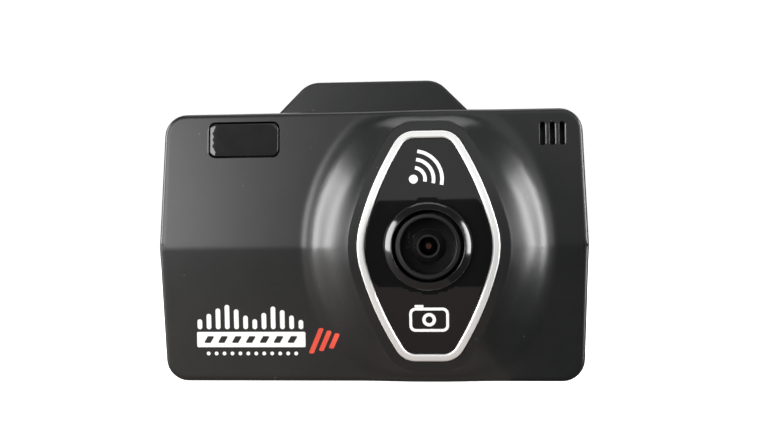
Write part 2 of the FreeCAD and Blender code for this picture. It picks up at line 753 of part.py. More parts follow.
def slots_tool():
    """Three upright speaker slots."""
    body = new_body("speaker_slots")
    outline = front_sketch(body, str(CLEAR))
    draw_rounded(outline, "-slot_pitch", "0", "slot_width", "slot_length", f"slot_width * {ROUND_END}")
    first = pad(body, outline, str(2 * CLEAR))
    row = body.newObject("PartDesign::LinearPattern", "Row")
    row.Originals = [first]
    row.Direction = (outline, ["H_Axis"])
    bind(row, "Length", "2 * slot_pitch")
    row.Occurrences = 3
    body.Tip = row
    return place(tilt(body, "-lean"), "slot_x", "slot_y", "slot_z")


def wall_middle(z):
    """Y of the middle of the front wall, which slopes back from the crease, at a height."""
    return f"edge_y - crease_rise * (1 - abs(({z}) / crease_z - 1)) + wall / 2"


def make_front_shell():
    dome = half_ellipsoid("dome", "dome_y", "dome_half_width", "dome_half_height", "dome_depth")
    hollow = half_ellipsoid("dome_hollow", "inner_y", "dome_half_width - wall - dome_extra",
                            "dome_half_height - wall - dome_extra",
                            "inner_y - crown_y - inlay_depth - pod_floor")
    lens_hole = rod("lens_hole", "lens_x", f"front_y - {CLEAR}", "crease_z", "holder_radius + part_gap",
                    f"inner_y - front_y + {CLEAR}")
    tools = [hollow, lens_hole, laser_tool(), slots_tool(),
             pod_tool("plateau_cut", "plateau_band", "arch_radius"),
             pod_tool("inlay_cut", "inlay_gap", "arch_radius - inlay_depth")]
    blank = fuse("front_solid", [make_front_blank(), dome])
    shell = cut("front_open", blank, tools)
    posts = [rod("case_post", x, wall_middle(z), z, "post_radius", f"split_y - ({wall_middle(z)})")
             for x, z in CASE_SCREWS]
    posts += [rod("board_post", x, wall_middle(z), z, "board_post_radius",
                  f"board_front - ({wall_middle(z)})") for x, z in BOARD_SCREWS]
    pilots = [rod("pilot", x, "inner_y + pilot_floor", z, "pilot_radius", "rear_depth")
              for x, z in CASE_SCREWS + BOARD_SCREWS]
    node(cut("front_shell", fuse("front_posted", [shell] + posts), pilots), "front_shell")


def make_rear_shell():
    """Rear shell with the mount block, screen window, button holes and side openings."""
    body = new_body("rear_shell")
    outline = front_sketch(body, "back_y")
    draw_polygon(outline, case_outline("0"))
    slab = pad(body, outline, "rear_depth")
    rounded = fillet(body, slab, "corner_radius", case_corners)
    back_y, case_height, block_z = number("back_y"), number("case_height"), number("block_z")
    fillet(body, rounded, "back_edge_radius", lambda b: b.YMin > back_y - TOUCH)
    block = front_sketch(body, "back_y")
    base, top = "block_base / 2", "block_base / 2 - block_height"
    foot = "case_height - wall"
    draw_polygon(block, [(f"-({base})", foot), (base, foot), (base, "case_height"), (top, "block_z"),
                         (f"-({top})", "block_z"), (f"-({base})", "case_height")])
    blocked = pad(body, block, "rear_depth")
    shoulders = fillet(body, blocked, "block_radius",
                       lambda b: b.ZMin > block_z - TOUCH and b.XLength < TOUCH)
    fillet(body, shoulders, "block_round",
           lambda b: b.YLength < TOUCH and b.ZMax > case_height + TOUCH and b.ZMin > case_height - TOUCH)
    hollow = front_sketch(body, "split_y")
    draw_polygon(hollow, case_outline("wall"))
    pocket(body, hollow, "rear_depth - wall")
    cut_bracket_slot(body)
    cut_screen_window(body)
    cut_button_holes(body)
    cut_side_openings(body)
    cut_vents(body)
    add_rear_posts(body)
    node(body, "rear_shell")


def cut_bracket_slot(body):
    """A T-slot along Y, open at the back and the top, with seats for the dock contacts."""
    slot = front_sketch(body, "back_y")
    neck, head, lip = "rail_neck / 2", "rail_head / 2", "block_z - rail_lip"
    half = [(head, "rail_z"), (head, lip), (neck, lip), (neck, f"block_z + {CLEAR}")]
    draw_polygon(slot, half + [(f"-{x}", z) for x, z in reversed(half)])
    pocket(body, slot, "rear_depth - wall", reverse=True)
    seats = plan_sketch(body, "rail_z")
    for x in contact_places():
        draw_rectangle(seats, x, "contact_y", "contact_width", "contact_length")
    pocket(body, seats, "contact_depth")


def contact_places():
    return [f"({i - (CONTACTS - 1) / 2}) * contact_pitch" for i in range(CONTACTS)]


def cut_screen_window(body):
    seat = front_sketch(body, "back_y")
    draw_rounded(seat, "display_x", "crease_z", "glass_width + 2 * cover_gap",
                 "glass_height + 2 * cover_gap", "glass_corner + cover_gap")
    pocket(body, seat, "cover_thickness", reverse=True)
    window = front_sketch(body, "back_y")
    draw_rounded(window, "display_x", "crease_z", "view_width", "view_height", "view_corner")
    pocket(body, window, "wall", reverse=True)


def button_z(index):
    return f"crease_z + ({index - len(BUTTONS) // 2}) * button_pitch"


def light_z():
    return button_z(len(BUTTONS) - 1) + " + light_rise"


def cut_button_holes(body):
    holes = front_sketch(body, "back_y")
    for index in range(len(BUTTONS)):
        draw_rounded(holes, "button_x", button_z(index), "button_width + 2 * button_gap",
                     "button_height + 2 * button_gap", "button_corner + button_gap")
    draw_circle(holes, "button_x", light_z(), "light_radius + close_fit")
    draw_circle(holes, "button_x + microphone_place", "microphone_z", "microphone_hole")
    pocket(body, holes, "wall", reverse=True)


def cut_side_openings(body):
    """Card slot and power socket opening in the right side wall."""
    openings = side_sketch(body, f"side_x + {CLEAR}")
    draw_rectangle(openings, "card_y", "card_z", "card_thickness + 4 * card_gap",
                   "card_width + 4 * card_gap")
    draw_rounded(openings, "board_back + usb_height / 2", "usb_z", "usb_height + 2 * usb_gap",
                 "usb_width + 2 * usb_gap", "usb_corner")
    pocket(body, openings, f"wall + side_taper + 2 * {CLEAR}")


def cut_vents(body):
    """A row of cooling slots through the underside."""
    sketch = plan_sketch(body)
    for i in range(VENTS):
        draw_rounded(sketch, f"({i - VENTS // 2}) * vent_pitch", "back_y - vent_inset", "vent_width",
                     "vent_length", f"vent_width * {ROUND_END}")
    pocket(body, sketch, "wall", reverse=True)


def add_rear_posts(body):
    """Posts for the case screws, with head bores from the back."""
    posts = front_sketch(body, "split_y")
    for x, z in CASE_SCREWS:
        draw_circle(posts, x, z, "rear_post_radius")
    pad(body, posts, "rear_depth - wall / 2", reverse=True)
    holes = front_sketch(body, "split_y")
    bores = front_sketch(body, "head_seat_y")
    for x, z in CASE_SCREWS:
        draw_circle(holes, x, z, "pass_radius")
        draw_circle(bores, x, z, "head_bore_radius")
    pocket(body, holes, "rear_depth")
    pocket(body, bores, "rear_depth")


# ---------------------------------------------------------------- pod

def pod_piece(name, grow, back_radius, front_radius, hole=None):
    """A plate between two arches inside the grown pod outline, with an optional hole."""
    body = new_body(name)
    outline = front_sketch(body, "split_y")
    draw_pod_outline(outline, grow)
    pad(body, outline, f"split_y - front_y + {CLEAR}")
    arch = side_sketch(body)
    draw_circle(arch, "arch_y", "0", back_radius)
    pocket(body, arch, "case_width", both=True)
    outside = side_sketch(body)
    draw_circle(outside, "arch_y", "0", front_radius)
    draw_circle(outside, "arch_y", "0", f"{front_radius} + overall_depth")
    pocket(body, outside, "case_width", both=True)
    opening = front_sketch(body, "split_y")
    if hole is None:
        draw_pod_outline(opening, f"{grow} - bezel_band")
    else:
        draw_circle(opening, "0", "0", hole)
    pocket(body, opening, reverse=True)
    place(body, "lens_x", "0", "crease_z")
    return node(body, name)


def make_pod():
    seat = "arch_radius - inlay_depth"
    pod_piece("pod_bezel", "0", seat, "arch_radius + bezel_proud")
    pod_piece("pod_panel", "(-bezel_band - inlay_gap / 2)", seat, "arch_radius + panel_proud",
              "lens_ring_radius + seat_gap")


# ---------------------------------------------------------------- lens and camera

def turned(name, profile, y):
    """A piece turned about the lens axis: profile points are (radius, distance behind y)."""
    body = new_body(name)
    sketch = plan_sketch(body)
    draw_polygon(sketch, profile)
    revolve(body, sketch)
    place(body, "lens_x", y, "crease_z")
    return node(body, name)


def make_lens():
    ring_back = "lens_ring_proud + inlay_depth - seat_gap"
    turned("lens_ring", [
        ("lens_ring_bore", ring_back), ("lens_ring_bore", "ring_lip"), ("lens_ring_bore + ring_lip", "0"),
        ("lens_ring_bore + 2 * ring_lip", "ring_dip"), ("lens_ring_radius - ring_round", "ring_slope"),
        ("lens_ring_radius", "ring_shoulder"), ("lens_ring_radius", ring_back)], "front_y")
    mouth = "glass_radius + glass_fit"
    turned("lens_barrel", [
        (mouth, "0"), ("barrel_head_radius - barrel_chamfer", "0"),
        ("barrel_head_radius", "barrel_chamfer"), ("barrel_head_radius", "barrel_head_length"),
        ("barrel_radius", "barrel_head_length"), ("barrel_radius", "barrel_length"),
        ("barrel_exit", "barrel_length"), ("barrel_exit", "glass_seat"), (mouth, "glass_seat")], "barrel_y")
    crown = [(f"glass_radius * {share}", f"glass_setback + glass_sag * {share ** 2}")
             for share in GLASS_RINGS]
    glass_back = "glass_setback + glass_thickness"
    turned("lens_front_glass", crown + [("glass_radius", glass_back), ("0", glass_back)], "barrel_y")
    rim, slope = "stop_radius + stop_width", "stop_setback + stop_slope"
    back = "stop_setback + stop_thickness"
    turned("lens_inner_ring", [("stop_hole_radius", "stop_setback"), ("stop_radius", "stop_setback"),
                               (rim, slope), (rim, back), ("stop_hole_radius", back)], "barrel_y")
    start, end = "rear_glass_setback", "rear_glass_setback + rear_glass_length"
    turned("lens_rear_glass", [("0", start), ("rear_glass_radius", f"{start} + rear_glass_sag"),
                               ("rear_glass_radius", f"{end} - rear_glass_sag"), ("0", end)], "barrel_y")


def make_camera():
    """Lens holder, sensor, filter glass, board, screws and the flex to the main board."""
    plate, front = "holder_plate", "camera_board_front"
    holder = new_body("lens_holder")
    base = front_sketch(holder, front)
    draw_rectangle(base, "0", "0", plate, plate)
    pad(holder, base, "holder_base")
    tube = front_sketch(holder, front)
    draw_circle(tube, "0", "0", "holder_radius")
    pad(holder, tube, f"{front} - crown_y - inlay_depth - holder_setback")
    bore = front_sketch(holder, front)
    draw_circle(bore, "0", "0", "barrel_radius + close_fit")
    pocket(holder, bore, reverse=True)
    # the barrel's wider head sits in a wider mouth
    mouth = front_sketch(holder, "barrel_y + barrel_head_length + seat_gap")
    draw_circle(mouth, "0", "0", "barrel_head_radius + close_fit")
    pocket(holder, mouth, reverse=True)
    screws = front_sketch(holder, front)
    for sign in ("", "-"):
        draw_circle(screws, f"{sign}camera_screw_place", f"{sign}camera_screw_place", "camera_pilot")
    pocket(holder, screws, "holder_base", reverse=True)
    node(place(holder, "lens_x", "0", "crease_z"), "lens_holder")

    size = "camera_board_size"
    thick = "camera_board_thickness"
    board = box("camera_board_blank", "lens_x", front, "crease_z", size, thick, size)
    places = [(f"lens_x + {side} * camera_screw_place", f"crease_z + {side} * camera_screw_place")
              for side in (1, -1)]
    holes = [rod("camera_hole", x, front, z, "camera_pass", f"{thick} + {CLEAR}") for x, z in places]
    node(cut("camera_board", board, holes), "camera_board")
    pins = []
    for x, z in places:
        shank = rod("shank", x, f"{front} - camera_screw_length", z, "camera_screw_radius",
                    f"camera_screw_length + {thick}")
        head = rod("head", x, "camera_board_back", z, "camera_head_radius", "camera_head")
        pins.append(fuse("camera_screw", [shank, head]))
    group("camera_screws", pins)
    node(box("image_sensor", "lens_x", f"{front} - sensor_thickness", "crease_z", "sensor_width",
             "sensor_thickness", "sensor_height"), "image_sensor")
    node(box("filter_glass", "lens_x", f"{front} - sensor_thickness - filter_thickness", "crease_z",
             "sensor_width - 2 * filter_inset", "filter_thickness", "sensor_height - 2 * filter_inset"),
         "filter_glass")
    make_flex()


def make_flex():
    """Flat flex that leaves the camera board downwards and turns back to the main board."""
    body = new_body("camera_flex")
    band = side_sketch(body)
    start, thick = "camera_board_back", "flex_thickness"
    low = "crease_z - camera_board_size / 2 - flex_drop"
    draw_polygon(band, [(start, f"{low} + flex_lap"), (start, low), ("board_front", low),
                        ("board_front", f"{low} + {thick}"), (f"{start} + {thick}", f"{low} + {thick}"),
                        (f"{start} + {thick}", f"{low} + flex_lap")])
    strip = pad(body, band, "flex_width", both=True)
    low_z, start_y, inner = number(low), number(start), number(thick)
    outer = fillet(body, strip, f"flex_bend + {thick}",
                   lambda b: b.XLength > TOUCH and b.ZMax < low_z + TOUCH and b.YMax < start_y + TOUCH)
    fillet(body, outer, "flex_bend",
           lambda b: b.XLength > TOUCH and abs(b.ZMax - low_z - inner) < TOUCH
           and b.YMax < start_y + inner + TOUCH)
    node(place(body, "lens_x"), "camera_flex")


# ---------------------------------------------------------------- laser and speaker

def make_laser():
    window = new_body("laser_window")
    face = front_sketch(window, "wall + part_gap")
    draw_rounded(face, "0", "0", "laser_width", "laser_height", "laser_corner")
    pad(window, face, "wall + part_gap")
    flange = front_sketch(window, "wall + part_gap + window_flange_thickness")
    draw_rounded(flange, "0", "-window_flange_drop / 2", "laser_width + 2 * window_flange",
                 "laser_height + window_flange_drop", "laser_corner")
    pad(window, flange, "window_flange_thickness")
    tilt(window, "-lean")
    node(place(window, "laser_x", "laser_y", "laser_z"), "laser_window")
    start, z = "inner_y + receiver_setback", "laser_z - receiver_drop"
    lens = rod("receiver_lens", "laser_x", f"{start} - receiver_lens_length", z, "receiver_lens_radius",
               "receiver_lens_length + seat_gap")
    case = box("receiver_case", "laser_x", start, z, "receiver_width", f"board_front - ({start})",
               "receiver_height")
    node(fuse("laser_receiver", [lens, case]), "laser_receiver")


def make_speaker():
    x = "speaker_left + speaker_width / 2"
    z = "case_height - wall - speaker_top_gap - speaker_height / 2"
    y, thick = "inner_y + speaker_gasket_thickness", "speaker_gasket_thickness"
    open_width, open_height = "speaker_width - 2 * speaker_rim", "speaker_height - 2 * speaker_rim"
    gasket = box("gasket_blank", x, "inner_y", z, "speaker_width", thick, "speaker_height")
    hole = box("gasket_hole", x, f"inner_y - {CLEAR}", z, open_width, f"{thick} + 2 * {CLEAR}", open_height)
    node(cut("speaker_gasket", gasket, [hole]), "speaker_gasket")
    case = box("speaker_case", x, y, z, "speaker_width", "speaker_depth", "speaker_height")
    cup = box("speaker_cup_tool", x, f"{y} - {CLEAR}", z, open_width, f"speaker_cup + {CLEAR}", open_height)
    cone = rod("speaker_cone", x, f"{y} + cone_setback", z, "speaker_height / 2 - cone_margin",
               "speaker_cup")
    node(fuse("speaker", [cut("speaker_open", case, [cup]), cone]), "speaker")


# ---------------------------------------------------------------- screen and buttons

def frame_plate(name, y, thickness, grow, hole=None):
    """A plate behind the screen window, grown past it all round, with an optional window."""
    width, height = f"view_width + 2 * ({grow})", f"view_height + 2 * ({grow})"
    plate = box(name + "_blank", "display_x", y, "crease_z", width, thickness, height)
    if hole is None:
        return node(plate, name)
    window = box(name + "_window", "display_x", f"{y} - {CLEAR}", "crease_z", f"view_width + 2 * ({hole})",
                 f"{thickness} + 2 * {CLEAR}", f"view_height + 2 * ({hole})")
    return node(cut(name, plate, [window]), name)


def make_screen():
    cover = new_body("display_lens")
    outline = front_sketch(cover, "back_y")
    draw_rounded(outline, "0", "0", "glass_width", "glass_height", "glass_corner")
    slab = pad(cover, outline, "cover_thickness")
    back_y = number("back_y")
    fillet(cover, slab, "cover_chamfer", lambda b: b.YMin > back_y - TOUCH, "PartDesign::Chamfer")
    node(place(cover, "display_x", "0", "crease_z"), "display_lens")
    frame_plate("display_gasket", "lcd_y", "gasket_thickness", "lcd_margin", "gasket_inset")
    frame_plate("lcd_panel", "backlight_y", "lcd_thickness", "lcd_margin")
    frame_plate("lcd_backlight", "backlight_y - backlight_thickness", "backlight_thickness", "lcd_margin")


def make_button(name, index):
    """Cap, retaining flange and stem, pushed along -Y."""
    body = new_body(name)
    cap = front_sketch(body, "back_y + button_proud")
    draw_rounded(cap, "0", "0", "button_width", "button_height", "button_corner")
    head = pad(body, cap, "back_y + button_proud - flange_y + flange_thickness")
    top = number("back_y + button_proud")
    fillet(body, head, "button_round", lambda b: b.YMin > top - TOUCH)
    flange = front_sketch(body, "flange_y")
    draw_rounded(flange, "0", "0", "button_width + 2 * flange_rim", "button_height + 2 * flange_rim",
                 "button_corner + flange_rim")
    pad(body, flange, "flange_thickness")
    stem = front_sketch(body, "flange_y - flange_thickness")
    draw_circle(stem, "0", "0", "stem_radius")
    pad(body, stem, "stem_length")
    node(place(body, "button_x", "0", button_z(index)), name)


def make_button_board():
    board_y = "switch_y - button_board_thickness"
    node(box("button_board", "button_x", board_y, "crease_z", "button_board_width",
             "button_board_thickness", "button_board_height"), "button_board")
    switches = []
    for index in range(len(BUTTONS)):
        z = button_z(index)
        body = box("switch_body", "button_x", "switch_y", z, "switch_size", "switch_body", "switch_size")
        plunger = rod("plunger", "button_x", "switch_y + switch_body", z, "plunger_radius",
                      "plunger_height")
        switches.append(fuse("tact_switch", [body, plunger]))
    group("tact_switches", switches)
    node(box("board_connector", "button_x", "board_back", "crease_z", "connector_width",
             f"{board_y} - board_back", "connector_height"), "board_connector")
    node(box("status_led", "button_x", "switch_y", light_z(), "led_width", "led_height", "led_breadth"),
         "status_led")
    node(rod("status_light", "button_x", "switch_y + led_height", light_z(), "light_radius",
             "back_y - switch_y - led_height"), "status_light")


# ---------------------------------------------------------------- inside

def make_main_board():
    blank = box("main_blank", "0", "board_front", "(board_bottom + board_top) / 2", "board_width",
                "board_thickness", "board_top - board_bottom")
    holes = [rod("board_hole", x, f"board_front - {CLEAR}", z, "pass_radius",
                 f"board_thickness + 2 * {CLEAR}") for x, z in BOARD_SCREWS]
    node(cut("main_board", blank, holes), "main_board")
    node(box("processor", "processor_x", "board_back", "crease_z + processor_rise", "processor_size",
             "processor_thickness", "processor_size"), "processor")
    chips = [box("chip", "memory_x", "board_back", f"crease_z + memory_rise + {share} * memory_pitch",
                 "memory_width", "memory_thickness", "memory_height") for share in (0.5, -0.5)]
    group("memory_chips", chips)
    node(box("power_coil", "coil_x", "board_back", "crease_z - coil_drop", "coil_size",
             "coil_thickness", "coil_size"), "power_coil")
    node(box("battery", "side_x - battery_inset - battery_length / 2", "board_front - battery_thickness",
             "board_bottom + battery_height / 2", "battery_length", "battery_thickness",
             "battery_height"), "battery")


def make_radar():
    """Die-cast radar horn with a flared mouth to the front, on its own board."""
    body = new_body("radar_horn")
    back = "board_front - radar_board_thickness"
    depth = f"{back} - inner_y - horn_setback"
    outline = front_sketch(body, back)
    draw_rectangle(outline, "0", "0", "horn_width", "horn_height")
    pad(body, outline, depth)
    mouth = front_sketch(body, f"{back} - ({depth})")
    draw_rectangle(mouth, "0", "0", "horn_width - 2 * horn_wall", "horn_height - 2 * horn_wall")
    throat = front_sketch(body, f"{back} - horn_wall")
    draw_rectangle(throat, "0", "0", "horn_throat", "horn_throat / 2")
    flare = body.newObject("PartDesign::SubtractiveLoft", "Flare")
    flare.Profile = mouth
    flare.Sections = [throat]
    doc.recompute()
    node(place(body, "horn_x", "0", "horn_z"), "radar_horn")
    node(box("radar_board", "horn_x", back, "horn_z", "horn_width", "radar_board_thickness",
             "horn_height"), "radar_board")


def make_gps():
    """Ceramic patch on its board, facing the sky under the mount block."""
    size, low = "patch_size", "case_height - wall - patch_gap - patch_thickness"
    start = "(inner_y + skin_y - patch_size) / 2"
    node(box("gps_antenna", "patch_x", start, f"{low} + patch_thickness / 2", size, size,
             "patch_thickness"), "gps_antenna")
    node(box("gps_board", "patch_x", start, f"{low} - gps_board_thickness / 2",
             f"{size} + 2 * gps_board_margin", size, "gps_board_thickness"), "gps_board")


def make_card():
    """Memory card, seated in its socket, with its end just inside the right side wall."""
    left = "card_x - card_length"
    card = new_body("memory_card")
    outline = front_sketch(card, "card_y + card_thickness / 2")
    low, high = "card_z - card_width / 2", "card_z + card_width / 2"
    draw_polygon(outline, [(left, low), ("card_x", low), ("card_x", high),
                           (f"{left} + card_shoulder", high),
                           (f"{left} + card_shoulder - card_notch", f"{high} - card_notch"),
                           (left, f"{high} - card_notch")])
    pad(card, outline, "card_thickness")
    node(card, "memory_card")
    inner_x, start = "side_x - side_taper - wall - part_gap", f"{left} - card_stop"
    width, middle = f"({inner_x} - ({start}))", f"({inner_x} + {start}) / 2"
    front, deep = "card_y - card_thickness / 2 - card_gap", "card_thickness + 2 * card_gap"
    shell = box("socket_shell", middle, f"{front} - socket_skin", "card_z", width,
                f"{deep} + 2 * socket_skin", "card_width + 2 * card_gap + 2 * card_side")
    room = box("socket_room", f"{middle} + (card_side + {CLEAR}) / 2", front, "card_z",
               f"{width} - card_side + {CLEAR}", deep, "card_width + 2 * card_gap")
    node(cut("card_socket", shell, [room]), "card_socket")


def make_usb():
    """Power socket: a metal shell around a contact tongue."""
    middle = "usb_x - usb_gap - usb_length / 2"
    shell = box("usb_shell", middle, "board_back", "usb_z", "usb_length", "usb_height", "usb_width")
    room = box("usb_room", f"{middle} + usb_back", "board_back + socket_skin", "usb_z", "usb_length",
               "usb_height - 2 * socket_skin", "usb_width - 2 * socket_skin")
    tongue = box("usb_tongue", f"{middle} + (usb_back / 2 - tongue_margin) / 2",
                 "board_back + (usb_height - tongue_thickness) / 2", "usb_z",
                 "usb_length - usb_back / 2 - tongue_margin", "tongue_thickness",
                 "usb_width - 2 * tongue_margin")
    node(fuse("usb_socket", [cut("usb_open", shell, [room]), tongue]), "usb_socket")


def make_small_parts():
    """Microphone, dock contacts and screws."""
    node(rod("microphone", "button_x + microphone_place", "skin_y - seat_gap - microphone_height",
             "microphone_z", "microphone_radius", "microphone_height"), "microphone")
    contacts = [box("contact", x, "contact_y - contact_length / 2", "rail_z - contact_depth / 2",
                    "contact_width", "contact_length", "contact_depth") for x in contact_places()]
    group("dock_contacts", contacts)
    group("case_screws", [screw(x, "head_seat_y", z, "screw_length") for x, z in CASE_SCREWS])
    group("board_screws", [screw(x, "board_back", z, "board_thickness + board_screw_length")
                           for x, z in BOARD_SCREWS])


def screw(x, seat, z, length):
    """A pan-head screw driven along -Y; its head starts at the seat."""
    shank = rod("screw_shank", x, f"{seat} - ({length})", z, "screw_radius", length)
    head = rod("screw_head", x, seat, z, "screw_head_radius", "screw_head")
    cross = [box("screw_cross", x, f"{seat} + screw_head / 2", z, wide, "screw_head", tall)
             for wide, tall in (("cross_width", "cross_length"), ("cross_length", "cross_width"))]
    return cut("screw", fuse("screw_blank", [shank, head]), cross)


# ---------------------------------------------------------------- build, check and write

def check_document():
    """Stop if any object failed, or any sub-part is null or invalid."""
    for thing in doc.Objects:
        if "Invalid" in thing.State or "Error" in thing.State:
            raise RuntimeError(f"{thing.Name} ({thing.Label}): {thing.State}")
    for name, thing in nodes.items():
        if thing.Shape.isNull() or not thing.Shape.isValid():
            raise RuntimeError(f"{name} has no valid shape")


def write_steps():
    os.makedirs("parts", exist_ok=True)
    for name, thing in nodes.items():
        thing.Shape.exportStep(f"parts/{name}.step")
        bounds = thing.Shape.BoundBox
        print(f"{name:18s} solids {len(thing.Shape.Solids)}  x {bounds.XMin:7.2f} {bounds.XMax:7.2f}"
              f"  y {bounds.YMin:7.2f} {bounds.YMax:7.2f}  z {bounds.ZMin:7.2f} {bounds.ZMax:7.2f}")


dims = make_sheet()
make_front_shell()
make_rear_shell()
make_pod()
make_lens()
make_camera()
make_laser()
make_speaker()
make_screen()
for position, button in enumerate(BUTTONS):
    make_button(button, position)
make_button_board()
make_main_board()
make_radar()
make_gps()
make_card()
make_usb()
make_small_parts()
doc.recompute()
check_document()
write_steps()
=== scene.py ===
"""Looks for the windscreen radar detector with built-in dash camera.

Works in millimetres in the CAD frame and turns them into metres when a mesh is made: +X to the
right as the lens side is seen, +Y towards the screen side, +Z up.
"""
import cmath
import math

import bmesh
import bpy
import numpy as np
from mathutils import Matrix, Vector
from mathutils.geometry import delaunay_2d_cdt


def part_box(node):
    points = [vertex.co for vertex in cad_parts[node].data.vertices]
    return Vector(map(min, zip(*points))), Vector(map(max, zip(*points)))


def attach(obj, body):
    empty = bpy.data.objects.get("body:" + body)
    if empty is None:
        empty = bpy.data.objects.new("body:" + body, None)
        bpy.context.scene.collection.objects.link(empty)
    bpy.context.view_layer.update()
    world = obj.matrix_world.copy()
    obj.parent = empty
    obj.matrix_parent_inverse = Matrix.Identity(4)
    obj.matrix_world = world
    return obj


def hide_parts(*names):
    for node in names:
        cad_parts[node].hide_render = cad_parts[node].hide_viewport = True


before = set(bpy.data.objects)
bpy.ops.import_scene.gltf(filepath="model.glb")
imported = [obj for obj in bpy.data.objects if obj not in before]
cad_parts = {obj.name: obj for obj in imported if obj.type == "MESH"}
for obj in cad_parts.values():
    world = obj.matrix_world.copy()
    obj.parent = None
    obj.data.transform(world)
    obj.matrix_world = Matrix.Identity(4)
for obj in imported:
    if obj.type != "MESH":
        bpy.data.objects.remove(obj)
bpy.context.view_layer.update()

MM = 0.001


# ---- places, from the frame

def span(node):
    """Lowest and highest corner of a CAD node, in millimetres."""
    low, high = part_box(node)
    return [v / MM for v in low], [v / MM for v in high]


def middle(node):
    """Middle of a CAD node's box, in millimetres."""
    low, high = span(node)
    return [(a + b) / 2 for a, b in zip(low, high)]


CASE_HIGH = span("front_shell")[1]
REAR_LOW, REAR_HIGH = span("rear_shell")
BEZEL_LOW, BEZEL_HIGH = span("pod_bezel")
RING_LOW, RING_HIGH = span("lens_ring")
BARREL_LOW, BARREL_HIGH = span("lens_barrel")
GLASS_LOW, GLASS_HIGH = span("lens_front_glass")

SIDE_X = CASE_HIGH[0]
CASE_TOP = CASE_HIGH[2]
CREASE_Z = CASE_TOP / 2
SPLIT_Y = REAR_LOW[1]
BACK_Y = REAR_HIGH[1]
LENS_X = middle("lens_ring")[0]
RING_R = (RING_HIGH[0] - RING_LOW[0]) / 2
BARREL_R = (BARREL_HIGH[0] - BARREL_LOW[0]) / 2
GLASS_R = (GLASS_HIGH[0] - GLASS_LOW[0]) / 2

# shape of the case and the pod, as in the CAD model
SIDE_TAPER = 1.0        # narrowing of the case from the crease to its top and bottom
CORNER_R = 4.9
EDGE_R = 1.1
CREASE_RISE = 2.3       # how far the crease stands before the top and bottom edges
CREASE_R = 0.3          # small round along the crease
CREASE_SETBACK = 6.0    # from the crown of the pod to the crease
BEZEL_PROUD = 0.8       # bezel front before the flat band
PANEL_RISE = 0.6        # bezel front before the panel front
BEZEL_BAND = 1.6        # width of the bezel
PLATEAU_BAND = 2.2      # width of the flat band round it
INLAY_GAP = 0.2
ARCH_R = 75.0           # curve of the pod's front
POD_HALF = ((BEZEL_HIGH[0] - BEZEL_LOW[0]) / 2, (BEZEL_HIGH[2] - BEZEL_LOW[2]) / 2)
POD_FLAT, POD_CORNER_R, POD_SIDE_R, POD_FLANK_R = 2.9, 4.8, 18.4, 70.0
CROWN_Y = BEZEL_LOW[1] + BEZEL_PROUD
CREASE_Y = CROWN_Y + CREASE_SETBACK
LEAN = math.atan(CREASE_RISE / CREASE_Z)
WINDOW_SIZE, WINDOW_CORNER_R = (15.5, 7.4), 1.4
WINDOW_DROP = 5.95      # its middle below the top of the case
WINDOW_ROOM = 0.25      # its opening is this much larger all round
WINDOW_INSET = 0.08     # and the window this much smaller
SPEAKER_X, SLOT_PITCH = 39.55, 2.1
SLOT_SIZE, SLOT_DROP = (1.15, 5.0), 5.6

# the dome behind the pod
DOME_HALF = (25.8, 27.9)
DOME_DEPTH, DOME_Y = 11.6, -3.0
DOME_FOLD = 3.5         # how strongly the crease shows across the dome
DOME_CREASE_R = 0.2
DOME_SHOULDER = 0.89    # share of the dome's radius from which it falls straight
SHOULDER_FALL = DOME_SHOULDER / math.sqrt(1 - DOME_SHOULDER ** 2)
PLATEAU_STEP = 0.22     # width of the step at the band's edge
PLATEAU_LIP = 0.13      # how far the band's edge stands before the dome
PLATEAU_REACH = 5.0     # over which the dome is drawn to the band's edge
FOOT_BLEND = 0.95       # how softly the dome runs into the faces
FADE_FROM = 25.6        # height from the crease where the dome starts to fade
EDGE_FADE = 0.35        # how much of it has faded at the top and bottom edges

# lens
RING_BORE = 7.5
REAR_R = 3.5            # rear lens element
BEAD_R = 0.62           # warm reflection deep in the lens, painted as the colour of a small dome

# meshes
PRINT = 0.03            # how far printed ink stands before a surface
JOIN = 2e-6             # points closer than this are one, in metres
SMOOTH_ANGLE = 35.0     # degrees up to which neighbouring faces are shaded as one
SHELL_ANGLE = 40.0      # the same on the front shell and the plates
INK_ANGLE = 50.0
BEVEL_ANGLE = 32.0      # edges of CAD nodes sharper than this are softened
TURN_STEP = 0.2         # radians between points round a corner
ROW_SHARE = 0.866       # row distance of a grid of even triangles
BLOCK = 2000            # points measured at once
INK_SPACING = 0.6
SOFT_STEPS = 4
LATHE_STEPS = 160
BAND_POINTS = 24


# ---- outlines

def arc_points(centre, radius, start, end, step):
    """Points with outward normals along an arc, as ((x, z), (nx, nz)); its end is left out."""
    count = max(2, int(abs(end - start) * radius / step))
    made = []
    for i in range(count):
        direction = cmath.rect(1, start + (end - start) * i / count)
        spot = centre + radius * direction
        made.append(((spot.real, spot.imag), (direction.real, direction.imag)))
    return made


